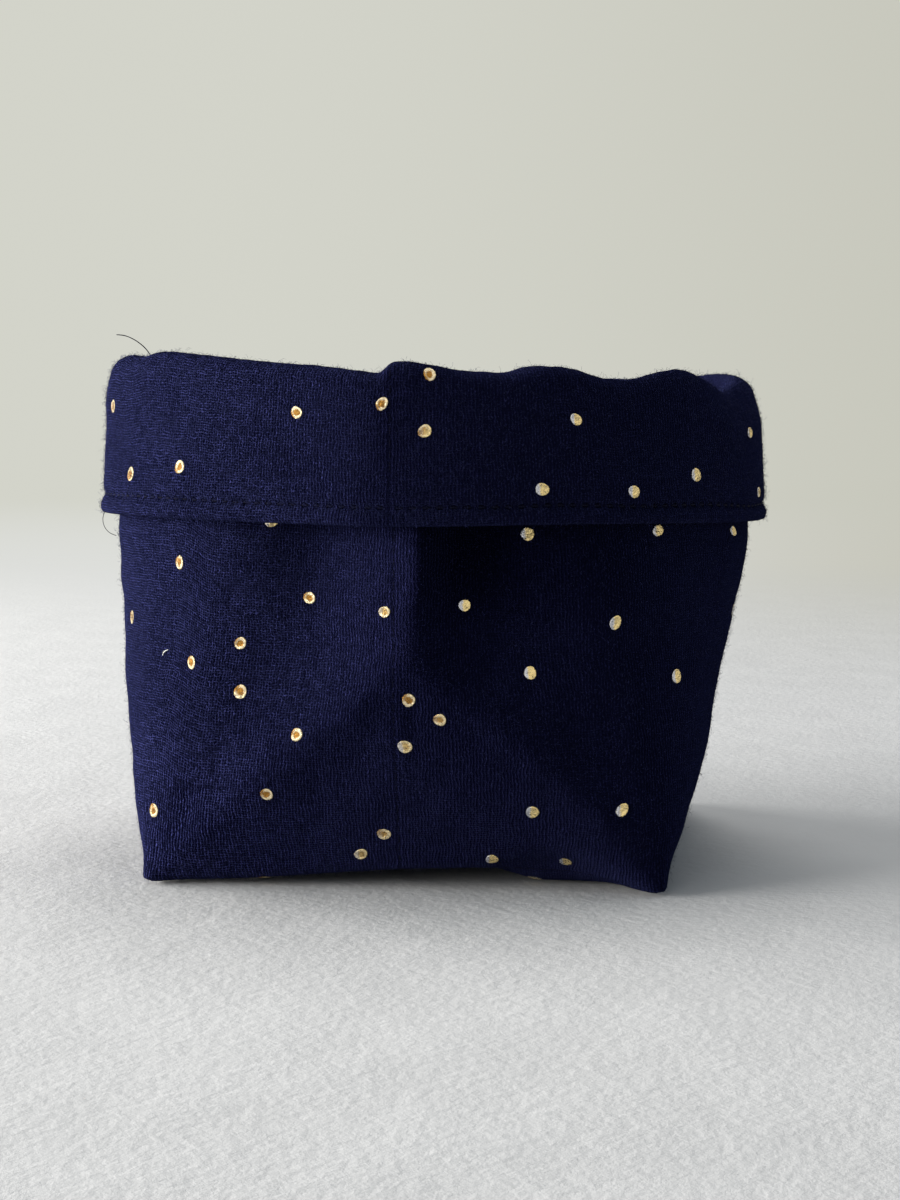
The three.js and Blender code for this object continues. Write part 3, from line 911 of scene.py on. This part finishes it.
def weave_group():
    """A plain weave. Warp threads stand along the cloth and weft threads across it. A thread's
    height is a cosine over its own pitch, raised to a power that thins it, and scaled up where the
    product of the two half-frequency cosines puts it on top. Threads wander from side to side, and
    each has its own tone. The last output marks the lit side of the bin: it is 1 on the left, where
    the window's light falls, and falls to 0 a little past the front seam and towards the back seam.
    On the lit side the threads are thinner and more weft shows."""
    tree, given, result = new_group(
        "plain_weave",
        {"Place": "vector", "Warp Pitch": "value", "Weft Pitch": "value", "Wander": "value"},
        {"Height": "value", "Tone": "value", "Blotch": "value", "Lit Side": "value"},
    )
    place = given.outputs["Place"]
    parts = axes(place)
    pitches = [given.outputs["Warp Pitch"], given.outputs["Weft Pitch"]]

    def shifted(offset):
        moved = {0: place, 1: (offset, offset * 1.7, 0.0)}
        return add_node(tree, "VectorMath", moved, operation="ADD").outputs[0]

    def thread_place(axis, offset):
        slow = calc("SUBTRACT", noise(shifted(offset), 260.0, 1.0, 0.5), 0.5)
        quick = calc("SUBTRACT", noise(shifted(offset + 2.3), 1100.0, 1.0, 0.5), 0.5)
        drift = calc("MULTIPLY_ADD", slow, 2.2, quick)
        wandered = calc("MULTIPLY_ADD", drift, given.outputs["Wander"], parts[axis])
        return calc("DIVIDE", wandered, pitches[axis])

    warp, weft = thread_place(0, 1.1), thread_place(1, 5.9)
    # A mask of the lit side of the bin, 1 on the left where the window's light falls.
    past_front = spread(parts[0], 0.012, -0.038)
    lit_side = calc("MULTIPLY", past_front, spread(parts[0], -0.212, -0.160))
    thinness = calc("MULTIPLY_ADD", lit_side, 0.80, 1.25)

    def ridge(position):
        turn = calc("COSINE", calc("MULTIPLY", position, 2 * math.pi))
        return calc("POWER", calc("MULTIPLY_ADD", turn, 0.5, 0.5), thinness)

    def half_turn(position):
        return calc("COSINE", calc("MULTIPLY", position, math.pi))

    over = calc("MULTIPLY", half_turn(warp), half_turn(weft))
    warp_height = calc("MULTIPLY", ridge(warp), calc("MULTIPLY_ADD", over, 0.35, 0.65))
    higher = spread(parts[1], 0.010, 0.045, 0.0, 0.36)
    showing = spread(noise(place, 55.0, 2.0, 0.5), 0.35, 0.65, 0.26, 0.56)
    showing = calc("MULTIPLY_ADD", lit_side, higher, showing)
    weft_height = calc("MULTIPLY", ridge(weft), calc("MULTIPLY_ADD", over, -0.35, showing))
    height = calc("SMOOTH_MAX", warp_height, weft_height, 0.1)

    def own_tone(across_share, up_share):
        shares = {0: calc("MULTIPLY", warp, across_share), 1: calc("MULTIPLY", weft, up_share)}
        return noise(add_node(tree, "CombineXYZ", shares).outputs[0], 1.2, 1.0, 0.5)

    warp_tone = spread(own_tone(1.0, 0.22), 0.34, 0.66)
    weft_tone = spread(own_tone(0.16, 0.9), 0.34, 0.66)
    on_top = spread(calc("SUBTRACT", warp_height, weft_height), -0.06, 0.06)
    more_warp = calc("SUBTRACT", warp_tone, weft_tone)
    tone = calc("MULTIPLY_ADD", more_warp, on_top, weft_tone)
    blotch = noise(place, 420.0, 4.0, 0.65)
    feed(tree, result, {"Height": height, "Tone": tone, "Lit Side": lit_side, "Blotch": blotch})
    return tree


# Of each family of streaks: its turn in radians, and how fast its noise changes along X, Y and Z.
LINT_STREAKS = [(0.5, (2600.0, 420.0, 1.0)), (2.1, (2300.0, 380.0, 1.0)), (1.2, (3000.0, 500.0, 1.0))]


def fuzz_group():
    """Fine lint: three crossing families of short streaks. Each is a noise that is turned and
    stretched along one direction, and kept only at its peaks."""
    tree, given, result = new_group("lint", {"Place": "vector"}, {"Mask": "value"})
    masks = []
    for turn, stretch in LINT_STREAKS:
        turned = add_node(tree, "VectorRotate", {"Vector": given.outputs[0], "Angle": turn},
                          rotation_type="Z_AXIS")
        long = add_node(tree, "VectorMath", {0: turned.outputs[0], 1: stretch},
                        operation="MULTIPLY")
        masks.append(spread(noise(long.outputs[0], 1.0, 2.0, 0.6), 0.60, 0.78))
    mask = calc("MAXIMUM", calc("MAXIMUM", masks[0], masks[1]), masks[2])
    feed(tree, result, {"Mask": mask})
    return tree


def stitch_group():
    """Puckers along the topstitch: one at every stitch, where a cosine along the row, less the
    square of the distance from it, is high."""
    tree, given, result = new_group("puckers", {"Place": "vector"}, {"Mask": "value"})
    parts = axes(given.outputs[0])
    along = calc("SUBTRACT", calc("ABSOLUTE", parts[0]), (0.5 + STITCH_PITCH / 2) * MM)
    wave = calc("COSINE", calc("MULTIPLY", along, 2 * math.pi / (STITCH_PITCH * MM)))
    away = calc("MULTIPLY", calc("SUBTRACT", parts[1], STITCH_UP * MM), 1 / (0.70 * MM))
    row = calc("SUBTRACT", 1.0, calc("MULTIPLY", away, away))
    feed(tree, result, {"Mask": spread(calc("MULTIPLY_ADD", wave, 0.9, row), 0.35, 1.25)})
    return tree


def new_material(name):
    """A material with an empty Principled BSDF, and its tree."""
    material = bpy.data.materials.new(name)
    material.use_nodes = True
    tree = material.node_tree
    return material, tree, tree.nodes["Principled BSDF"]


def use_group(tree, group, inputs):
    """A placed group node's outputs."""
    return add_node(tree, "Group", inputs, node_tree=group).outputs


WARP_PITCH, WEFT_PITCH = 0.66 * MM, 0.54 * MM
TOPSTITCHES = 80  # on each half of the cuff
STITCH_PITCH = (2 * SIDE - 1) / TOPSTITCHES  # the row starts half a millimetre from a seam
# The topstitch's place up the lining: past the wall and the fold at the rim, and down the cuff.
STITCH_UP = WALL_TOP + math.pi * (FOLD_GAP + LINING) + cuff_knots("lining")[4]
WEAVE = weave_group()
LINT = fuzz_group()
PUCKERS = stitch_group()


def tint(slot, red, green, blue):
    """The base colour that the record gives a slot, with each of its three parts multiplied."""
    base = next(m for m in frame["record"]["materials"] if m["slot"] == slot)["base_color"]
    return (base[0] * red, base[1] * green, base[2] * blue, 1)


def gauze_material():
    """Navy double gauze: threads over dark gaps, uneven, blotchy dye, puckers at the topstitch with
    painted shade in them, and pale lint that grows thick at the cuff's edge. Light and shade are
    painted in: the lit left side of the bin is painted paler, with a crisper pattern, the shaded
    side's pattern is softened towards an even tone, and an attribute of the cloth paints it paler
    where light falls and darker where shade lies."""
    material, tree, shader = new_material("navy double gauze")
    place = coordinate(tree, "UV")
    weave = use_group(tree, WEAVE, {
        "Place": place, "Warp Pitch": WARP_PITCH, "Weft Pitch": WEFT_PITCH, "Wander": 0.00045,
    })
    lint = use_group(tree, LINT, {"Place": place})["Mask"]
    gap = tint("navy_gauze", 0.02, 0.02, 0.06)
    open_weave = spread(weave["Height"], 0.28, 0.70)
    tone_shift = spread(weave["Blotch"], 0.40, 0.68, 1.0, 0.55)
    toned = calc("MULTIPLY_ADD", weave["Tone"], 0.85, 0.08)
    crisp = calc("MULTIPLY", calc("MULTIPLY", open_weave, tone_shift), toned)
    # Painted light and shade: the lit left side of the bin is painted paler and with a crisper pattern,
    # and the shaded side's pattern is softened towards an even tone.
    lit_side = weave["Lit Side"]
    shade_side_pale, lit_side_pale = tint("navy_gauze", 2.5, 2.35, 1.95), tint("navy_gauze", 3.6, 3.4, 2.85)
    pale = blend_colours(lit_side, shade_side_pale, lit_side_pale)
    soft = calc("MULTIPLY_ADD", lit_side, -0.42, 0.50)
    evenly = calc("MULTIPLY_ADD", lit_side, 0.06, 0.26)
    brightness = calc("MULTIPLY_ADD", calc("SUBTRACT", evenly, crisp), soft, crisp)
    # Painted light and shade from the cloth's attribute: paler where light falls, darker where shade lies.
    painted_light_here = add_node(tree, "Attribute", attribute_name="painted_light").outputs["Fac"]
    brightness = calc("MULTIPLY_ADD", brightness, painted_light_here, brightness)
    body = blend_colours(brightness, gap, pale)
    pucker = use_group(tree, PUCKERS, {"Place": place})["Mask"]
    # Painted shade in the dip at each stitch of the topstitch.
    body = blend_colours(calc("MULTIPLY", pucker, 0.9), body, gap)
    parts = axes(place)
    fluffy = spread(parts[1], (STITCH_UP + 0.4) * MM, (STITCH_UP + 1.2) * MM, 0.14, 0.75)
    fuzzy = blend_colours(calc("MULTIPLY", lint, fluffy), body, (0.024, 0.028, 0.085, 1))
    relief = calc("MULTIPLY_ADD", weave["Blotch"], 1.2, weave["Height"])
    relief = calc("MULTIPLY_ADD", pucker, -1.2, relief)
    relief = calc("MULTIPLY", relief, calc("MULTIPLY_ADD", lit_side, 0.4, 0.6))
    feed(tree, shader, {
        "Base Color": fuzzy, "Normal": bump(relief, 1.0, 0.00060), "Roughness": 0.95,
        "Specular IOR Level": 0.0, "Sheen Weight": 0.06, "Sheen Roughness": 0.40,
        "Sheen Tint": (0.30, 0.36, 1.0, 1),
    })
    return material


def fuzz_material():
    """The gauze's loose fibres, paler than the cloth because light passes through them."""
    material, tree, shader = new_material("navy fibres")
    tone = noise(coordinate(tree, "Object"), 900.0, 1.0, 0.5)
    colour = blend_colours(tone, (0.007, 0.009, 0.036, 1), (0.030, 0.035, 0.105, 1))
    feed(tree, shader, {"Base Color": colour, "Roughness": 0.8, "Specular IOR Level": 0.15})
    return material


def lint_material():
    """White lint: a stray fibre of the fleece."""
    material, tree, shader = new_material("white lint")
    tone = noise(coordinate(tree, "Object"), 2500.0)
    colour = blend_colours(tone, (0.5, 0.5, 0.48, 1), (0.85, 0.84, 0.8, 1))
    feed(tree, shader, {"Base Color": colour, "Roughness": 0.8})
    return material


def fleece_material():
    """Needle-punched fleece: matted white fibres with a pitted surface."""
    material, tree, shader = new_material("white fleece")
    place = coordinate(tree, "UV")
    lint = use_group(tree, LINT, {"Place": place})["Mask"]
    pits = noise(place, 700.0, 4.0, 0.65)
    colour = blend_colours(pits, tint("fleece", 0.8, 0.8, 0.8), tint("fleece", 1, 1, 1))
    normal = bump(calc("ADD", pits, lint), 0.6, 0.0003)
    feed(tree, shader, {
        "Base Color": colour, "Normal": normal, "Roughness": 0.95, "Specular IOR Level": 0.1,
        "Sheen Weight": 0.2,
    })
    return material


def thread_material():
    """Spun sewing thread: slanting plies with a faint lustre."""
    material, tree, shader = new_material("navy sewing thread")
    inputs = {"Vector": coordinate(tree, "Object"), "Scale": 900.0, "Distortion": 3.0}
    plies = add_node(tree, "TexWave", inputs, bands_direction="DIAGONAL").outputs["Fac"]
    dark, light = tint("navy_thread", 0.1, 0.1, 0.1), tint("navy_thread", 0.7, 0.7, 0.7)
    feed(tree, shader, {
        "Base Color": blend_colours(plies, dark, light), "Normal": bump(plies, 0.5, 0.00008),
        "Roughness": 0.7, "Specular IOR Level": 0.1,
    })
    return material


def foil_material():
    """Pressed gold foil: bright crinkled metal, with reflections painted into its colour. On the left
    of the bin, where the window's light falls, each dot is painted amber in the middle, as a
    reflection of the dim room, and cream on its rim, amber at the rim's upper left; on the right each
    dot is painted gold, with a grey reflection of the window at its left edge."""
    material, tree, shader = new_material("pressed gold foil")
    coordinates = add_node(tree, "TexCoord").outputs
    place, on_dot = coordinates["Object"], coordinates["UV"]
    coarse = noise(place, 900.0, 3.0, 0.6)
    fine = noise(place, 2600.0, 2.0, 0.5)
    radius = add_node(tree, "VectorMath", {0: on_dot}, operation="LENGTH").outputs["Value"]
    ragged = calc("MULTIPLY_ADD", coarse, 0.9, radius)
    middle = spread(ragged, 0.88, 1.12, 1.0, 0.0)
    cream = tint("gold_foil", 1.18, 1.38, 2.1)
    gold = tint("gold_foil", 1.22, 1.32, 1.40)
    amber = tint("gold_foil", 0.50, 0.34, 0.16)
    grey = tint("gold_foil", 0.86, 1.20, 2.9)
    dark = tint("gold_foil", 0.10, 0.10, 0.14)
    # Painted reflections differ between the dots on the lit left of the bin and those on its right.
    patches = calc("SUBTRACT", noise(place, 70.0, 1.0, 0.5), 0.5)
    patchy = calc("MULTIPLY_ADD", patches, 0.16, axes(place)[0])
    right_side = spread(patchy, -0.020, 0.016)
    local = axes(on_dot)
    leftwards = calc("MULTIPLY_ADD", calc("SUBTRACT", coarse, 0.5), 0.9, local[0])
    up_left = calc("MULTIPLY_ADD", local[1], -0.6, leftwards)
    # Painted light on the rims of the left-hand dots: cream, turning amber at the upper left.
    bright = blend_colours(spread(up_left, -1.0, -0.35), amber, cream)
    rim = blend_colours(right_side, bright, gold)
    centre = blend_colours(right_side, amber, gold)
    face = blend_colours(middle, rim, centre)
    # Painted grey reflection of the window at the left edge of each right-hand dot.
    painted_window_reflection = calc("MULTIPLY", spread(leftwards, -0.12, -0.50), right_side)
    face = blend_colours(painted_window_reflection, face, grey)
    edge = spread(radius, 0.90, 0.985)
    relief = calc("MULTIPLY_ADD", fine, 0.3, coarse)
    feed(tree, shader, {
        "Base Color": blend_colours(edge, face, dark),
        "Roughness": spread(fine, 0.3, 0.7, 0.20, 0.38),
        "Normal": bump(relief, 1.0, 0.00060), "Metallic": 1.0,
    })
    return material


# ---- Camera, light and floor -------------------------------------------------------------------

CAMERA_AZIMUTH = math.radians(7.05)
CAMERA_DISTANCE = 463.4 * MM
CAMERA_HEIGHT = 94.9 * MM
CAMERA_TURN = math.radians(0.52)
CAMERA_PITCH = math.radians(4.80)
CAMERA_LENS = 60.2

# Painted light: the backdrop's colours and the far floor's glow are paler on the left, towards the window,
# than on the right. FLOOR_NEAR is the paper's own colour.
BACKDROP_LEFT = (0.650, 0.655, 0.590)
BACKDROP_RIGHT = (0.560, 0.560, 0.490)
FLOOR_SIZE = 3.5  # half of the sheet's side, in metres
FLOOR_NEAR = (0.580, 0.578, 0.570)
FLOOR_LEFT = (0.730, 0.738, 0.715)
FLOOR_RIGHT = (0.560, 0.555, 0.485)


def make_camera():
    """A camera a little above the rim, in front and slightly to the right."""
    data = bpy.data.cameras.new("camera")
    data.lens = CAMERA_LENS
    data.sensor_width = 36
    camera = add_object("camera", data)
    camera.location = (
        CAMERA_DISTANCE * math.sin(CAMERA_AZIMUTH),
        -CAMERA_DISTANCE * math.cos(CAMERA_AZIMUTH),
        CAMERA_HEIGHT,
    )
    camera.rotation_euler = (math.pi / 2 - CAMERA_PITCH, 0, CAMERA_AZIMUTH - CAMERA_TURN)
    bpy.context.scene.camera = camera


def soft_light(name, azimuth, elevation, distance, width, height, energy, colour):
    """An area light aimed at the bin. Azimuth is in degrees, 0 in front and 90 on the left. Only the
    glint shows in mirrors, and it lights nothing else."""
    data = bpy.data.lights.new(name, "AREA")
    data.shape = "RECTANGLE"
    data.size = width
    data.size_y = height
    data.energy = energy
    data.color = colour
    lamp = add_object(name, data)
    turn, tilt = math.radians(azimuth), math.radians(elevation)
    lamp.location = (
        -distance * math.sin(turn) * math.cos(tilt),
        -distance * math.cos(turn) * math.cos(tilt),
        0.05 + distance * math.sin(tilt),
    )
    lamp.rotation_euler = (math.pi / 2 - tilt, 0, -turn)
    lamp.visible_glossy = name == "glint"
    lamp.visible_diffuse = name != "glint"


def make_lamps():
    """A low window on the left, a glint for the foil, and a broad light overhead and a little behind."""
    soft_light("window", azimuth=87, elevation=8.5, distance=1.3, width=1.9, height=0.45,
               energy=79.0, colour=(1.0, 0.985, 0.965))
    soft_light("glint", azimuth=78, elevation=16, distance=1.3, width=0.95, height=0.4,
               energy=7.0, colour=(1.0, 0.99, 0.95))
    soft_light("overhead", azimuth=180, elevation=70, distance=3.2, width=1.9, height=1.9,
               energy=50.0, colour=(1.0, 0.99, 0.975))


def make_room():
    """A dim room, brighter on the right. The camera sees the backdrop instead of the room, and mirrors
    see a glow above and on the left."""
    world = bpy.data.worlds.new("studio")
    bpy.context.scene.world = world
    world.use_nodes = True
    tree = world.node_tree
    tree.nodes.clear()
    path = add_node(tree, "LightPath").outputs
    seen = calc("MAXIMUM", path["Is Camera Ray"], path["Is Transmission Ray"])
    seen = calc("MAXIMUM", seen, path["Is Glossy Ray"])
    rightwards, _, upwards = axes(coordinate(tree, "Generated"))
    strength = spread(upwards, 0.0, 0.9, 0.09, 0.19)
    strength = calc("ADD", strength, spread(rightwards, 0.15, 1.0, 0.0, 0.34))
    dim = add_node(tree, "Background", {"Color": (0.74, 0.87, 1.0, 1), "Strength": strength})
    # Painted light: the backdrop that the camera sees is paler on the left, towards the window.
    left_to_right = spread(rightwards, -0.25, 0.25)
    pale = blend_colours(left_to_right, (*BACKDROP_LEFT, 1), (*BACKDROP_RIGHT, 1))
    overhead = spread(upwards, -0.1, 0.8, 0.0, 1.0)
    leftwards = spread(rightwards, -0.9, 0.3, 1.0, 0.0)
    bright = calc("MAXIMUM", overhead, leftwards)
    glow = blend_colours(bright, (0.40, 0.40, 0.41, 1), (1, 0.99, 0.95, 1))
    mirrored = blend_colours(path["Is Glossy Ray"], pale, glow)
    shown = add_node(tree, "Background", {"Color": mirrored, "Strength": 1.0})
    mixed = add_node(tree, "MixShader", {0: seen, 1: dim.outputs[0], 2: shown.outputs[0]})
    add_node(tree, "OutputWorld", {"Surface": mixed.outputs[0]})


def paper_material():
    """Pale rough paper. Beyond a fifth of a metre from the bin the camera sees it glow with a
    painted light that is paler on the left, towards the window, and fades into the backdrop's colour
    far from the bin. It is clear from below."""
    material, tree, shader = new_material("pale rough paper")
    place = coordinate(tree, "Object")
    grain = noise(place, 420.0, 5.0, 0.6)
    swells = noise(place, 38.0, 3.0, 0.5)
    greyer = [part * 0.965 for part in FLOOR_NEAR]
    tone = blend_colours(spread(swells, 0.3, 0.7), (*greyer, 1), (*FLOOR_NEAR, 1))
    relief = calc("MULTIPLY_ADD", swells, 2.2, grain)
    feed(tree, shader, {
        "Base Color": tone, "Normal": bump(relief, 0.3, 0.0007), "Roughness": 0.9,
        "Specular IOR Level": 0.1,
    })
    camera_ray = add_node(tree, "LightPath").outputs["Is Camera Ray"]
    distance = add_node(tree, "VectorMath", {0: place}, operation="LENGTH").outputs["Value"]
    far = calc("MULTIPLY", spread(distance, 0.2, 1.1), camera_ray)
    parts = axes(place)
    away = calc("ADD", calc("ABSOLUTE", parts[1]), 0.45)
    # Painted light: the floor's far glow is paler on the left, towards the window, than on the right.
    to_right = spread(calc("DIVIDE", parts[0], away), -0.16, 0.22)
    near_side = blend_colours(to_right, (*FLOOR_LEFT, 1), (*FLOOR_RIGHT, 1))
    far_side = blend_colours(to_right, (*BACKDROP_LEFT, 1), (*BACKDROP_RIGHT, 1))
    colour = blend_colours(spread(distance, 0.6, 2.6), near_side, far_side)
    glow = add_node(tree, "Emission", {"Color": colour, "Strength": 1.0})
    faded = add_node(tree, "MixShader", {0: far, 1: shader.outputs[0], 2: glow.outputs[0]})
    clear = add_node(tree, "BsdfTransparent")
    below = add_node(tree, "NewGeometry").outputs["Backfacing"]
    whole = add_node(tree, "MixShader", {0: below, 1: faded.outputs[0], 2: clear.outputs[0]})
    feed(tree, tree.nodes["Material Output"], {"Surface": whole.outputs[0]})
    return material


def make_floor():
    """A wide sheet of paper, a tenth of a millimetre below the bin."""
    mesh = bpy.data.meshes.new("paper_floor")
    corners = [(x * FLOOR_SIZE, y * FLOOR_SIZE, 0) for x, y in ((-1, -1), (1, -1), (1, 1), (-1, 1))]
    mesh.from_pydata(corners, [], [(0, 1, 2, 3)])
    mesh.materials.append(paper_material())
    floor = add_object("paper_floor", mesh)
    floor.location.z = -0.0001


# ---- The bin -----------------------------------------------------------------------------------

make_camera()
bpy.context.scene.view_settings.view_transform = "Standard"
make_lamps()
make_room()
make_floor()

GAUZE_CLOTH = gauze_material()
FLEECE_FELT = fleece_material()
THREAD = thread_material()
FOIL = foil_material()
FIBRE = fuzz_material()
WHITE_LINT = lint_material()


def cuff_rows(layer, bend, above, below):
    """Places down the cuff: some rows above a knot of its section, and closer ones below it."""
    knots = cuff_knots(layer)
    closer = np.linspace(knots[bend], knots[-1], below)
    return np.concatenate([np.linspace(0, knots[bend], above), closer[1:]])


LAYERS = {
    "outer": dict(face=0.0, back=GAUZE, step=0.85, inset=0.0,
                  rows=dict(base=1.6, edge=0.7, wall=1.25, fold=9, cuff=cuff_rows("outer", 3, 16, 10))),
    "fleece": dict(face=FLEECE_FAR, back=FLEECE_NEAR, step=1.6, inset=1.2,
                   rows=dict(base=2.4, edge=1.0, wall=1.8, fold=10, cuff=cuff_rows("fleece", 2, 10, 6))),
    "lining": dict(face=LINING, back=LINING - GAUZE, step=0.8, inset=0.0,
                   rows=dict(base=1.8, edge=0.8, wall=1.7, fold=15, cuff=cuff_rows("lining", 3, 22, 38))),
}
GAUZE_UP, FLEECE_UP = 147, 138  # how far a flat panel reaches above the base's edge
GAUZE_SHEET = (2 * SIDE, HALF + GAUZE_UP)  # its width and length
SHEET_SIZES = {"outer": GAUZE_SHEET, "lining": GAUZE_SHEET, "fleece": (2 * SIDE - 2, HALF + FLEECE_UP)}
SIGNS = {"left": -1, "right": 1}

panels = {}
for layer, plan in LAYERS.items():
    for side in SIGNS:
        panel = cloth(layer, side, **plan)
        panels[layer, side] = panel
        material, slot = (FLEECE_FELT, "fleece") if layer == "fleece" else (GAUZE_CLOTH, "navy_gauze")
        piece = panel_piece(f"{layer}_{side}_cloth", panel, material)
        finish_piece(piece, slot, f"{layer}_{side}_panel")
        width, length = (x * MM for x in SHEET_SIZES[layer])

# Seams: the threads that show at the bottom of each groove.
SEAM_THREAD = 0.07  # radius
SEAM_STITCH = dict(length=2.1, gap=0.4, lift=0.05, radius=SEAM_THREAD)
wall_up = np.linspace(0.3, WALL_TOP + 28, 260)
bottom = np.linspace(HALF + 3, 2 * SIDE - HALF - 3, 90)
corner = np.linspace(0.4, HALF - 0.4, 60)
for layer in ("outer", "lining"):
    straight = {
        "side_seam_front": (np.full(wall_up.shape, 0.02), wall_up),
        "side_seam_back": (np.full(wall_up.shape, 2 * SIDE - 0.02), wall_up),
        "bottom_seam": (bottom, np.full(bottom.shape, -HALF)),
    }
    for name, (across, up) in straight.items():
        paths = stitch_row(panels[layer, "right"], across, up, **SEAM_STITCH)
        sewn_thread(f"{layer}_{name}", paths, SEAM_THREAD)
    for end, places in (("front", corner), ("back", 2 * SIDE - corner)):
        halves = [stitch_row(panels[layer, side], np.sort(places * sign), np.full(corner.shape, 0.05),
                             **SEAM_STITCH) for side, sign in SIGNS.items()]
        sewn_thread(f"{layer}_corner_seam_{end}", np.concatenate(halves), SEAM_THREAD)

# The topstitch round the cuff, and the seam inside its welt.
WELT_THREAD = 0.2  # radius, also of the topstitch
TOPSTITCH_STITCH = dict(length=1.6, gap=1.06, lift=-0.02, radius=0.18)
halves = []
for side in SIGNS:
    panel = panels["lining", side]
    across = np.linspace(panel["across"][0] + 0.5, panel["across"][-1] - 0.5, 500)
    halves.append(stitch_row(panel, across, np.full(500, STITCH_UP), **TOPSTITCH_STITCH))
sewn_thread("hem_topstitch", np.concatenate(halves), WELT_THREAD)

around = np.linspace(-2 * SIDE + 1, 2 * SIDE - 1, 700)
welt_travel = np.array([[cuff_knots("lining")[6]]])
inside_welt = down_the_cuff("lining", around[None, :], welt_travel, np.array([[LINING - GAUZE - 0.45]]))[0]
sewn_thread("mouth_seam", inside_welt[None], WELT_THREAD)

# Foil dots. The front's are placed one by one, as (across, up) on the body and (across, down from
# the rim) on the cuff. The rest are scattered over every other part of the gauze that shows.
BODY_DOTS = [
    (-29, 80), (58, 76), (29, 78), (84, 76), (-53, 67), (-20, 64), (15, 63), (-2, 62), (-75, 54),
    (46, 58), (-35, 54), (-47, 48), (104, 43), (28, 49), (61, 44), (-34, 44), (3, 44), (9, 40),
    (-20, 36), (112, 24), (2, 34), (-26, 23), (45, 20), (27, 19), (-53, 15), (-3, 13), (-8, 8),
    (19, 6), (34, 4), (-29, 1),
]
CUFF_DOTS = [
    (8, -1), (-1.6, 4), (-20, 7), (38, 8), (7, 10), (90, 7), (-81, 8), (-49, 20), (-67, 22),
    (67, 20), (30, 23), (50, 23),
]
FRONT_REACH = 92
DOT_SPACING = 11.0
BODY_COUNT = 47  # dots on each half of the body,
CUFF_COUNT = 75  # and of the cuff and the lining under it
NOTCH_MARGIN = 3.5


def scattered(sign, taken, low, high, front, count, seed):
    """Seeded places at least a spacing apart, clear of the seams and of the places already taken.
    front gives the heights between which the front is already full."""
    draw = np.random.default_rng(seed)
    found = list(taken)
    for across, up in zip(draw.uniform(2, 2 * SIDE - 2, 6000), draw.uniform(low, high, 6000)):
        on_base = HALF + NOTCH_MARGIN < across < 2 * SIDE - HALF - NOTCH_MARGIN
        in_notch = up < NOTCH_MARGIN and not on_base
        in_front = across < FRONT_REACH and front[0] < up < front[1]
        crowded = any((sign * across - a) ** 2 + (up - b) ** 2 < DOT_SPACING**2 for a, b in found)
        if not in_notch and not in_front and not crowded:
            found.append((sign * across, up))
        if len(found) == count:
            break
    return found


for side, sign in SIGNS.items():
    body, lining = panels["outer", side], panels["lining", side]
    fold = lining["up"][lining["cuff_start"]]
    chosen = [(a, up) for a, up in BODY_DOTS if a * sign > 0]
    places = scattered(sign, chosen, -HALF + 3, WALL_TOP - 22, (-3, WALL_TOP), BODY_COUNT, 5 + sign)
    finish_piece(foil_dots(f"outer_{side}_dots", body, places, FOIL), "gold_foil")
    chosen = [(a, fold + down) for a, down in CUFF_DOTS if a * sign > 0]
    places = scattered(sign, chosen, -HALF + 3, fold + 24, (WALL_TOP - 6, 999), CUFF_COUNT, 15 + sign)
    finish_piece(foil_dots(f"lining_{side}_dots", lining, places, FOIL), "gold_foil")

# Fuzz, loose threads and lint. Of each kind of fibre: how many there are on a panel, the range of
# their lengths and their radius.
FIBRE_KINDS = {"nap": (16000, (0.4, 0.95), 0.03), "fuzz": (5000, (0.9, 2.2), 0.02)}
for (layer, side), panel in panels.items():
    if layer == "fleece":
        continue
    low, high = (1, WALL_TOP - 28) if layer == "outer" else (WALL_TOP - 6, panel["up"][-1] - 0.5)
    for kind, (count, length, radius) in FIBRE_KINDS.items():
        paths = fibres(panel, count, low, high, 50 + len(side) + len(layer) + count, length)
        finish_piece(tube_piece(f"{layer}_{side}_{kind}", paths, radius, 3, FIBRE), "navy_gauze")


def loose_thread(name, panel, across, up, route, radius, material, slot):
    """A loose end that leaves the cloth at one place and follows a route, given from there in
    millimetres along X, Y and Z, smoothed through its points."""
    start = on_cloth(panel, np.array([across]), np.array([up]))[0]
    share = np.linspace(0, 1, 40)
    knots = np.linspace(0, 1, len(route))
    path = start + np.stack([smooth_through(list(zip(knots, axis)), share) for axis in zip(*route)], -1)
    taper = radius * np.sqrt(np.clip(24 * np.minimum(share, 1 - share), 0, 1))
    finish_piece(tube_piece(name, path[None], taper, 6, material), slot)


lining_left = panels["lining", "left"]
loose_thread("loose_thread_at_rim", lining_left, -69, WALL_TOP + 5,
             [(0, 0, -0.4), (-1.4, -0.2, 1.5), (-3.4, -0.4, 3.1), (-5.6, -0.4, 4.1), (-7.8, -0.2, 4.4)],
             0.11, THREAD, "navy_thread")
loose_thread("loose_thread_under_cuff", lining_left, -84, lining_left["up"][-1] - 0.6,
             [(0, 0, 0.3), (-0.5, 0, -1.5), (-0.2, 0, -3.2), (0.9, 0, -4.6), (2.6, 0.3, -5.4)],
             0.07, THREAD, "navy_thread")
loose_thread("lint_fibre", panels["outer", "left"], -57, 47,
             [(0, 0, 0.0), (0.4, -0.4, 0.8), (1.3, -0.6, 1.3), (2.7, -0.4, 1.5)],
             0.12, WHITE_LINT, "fleece")
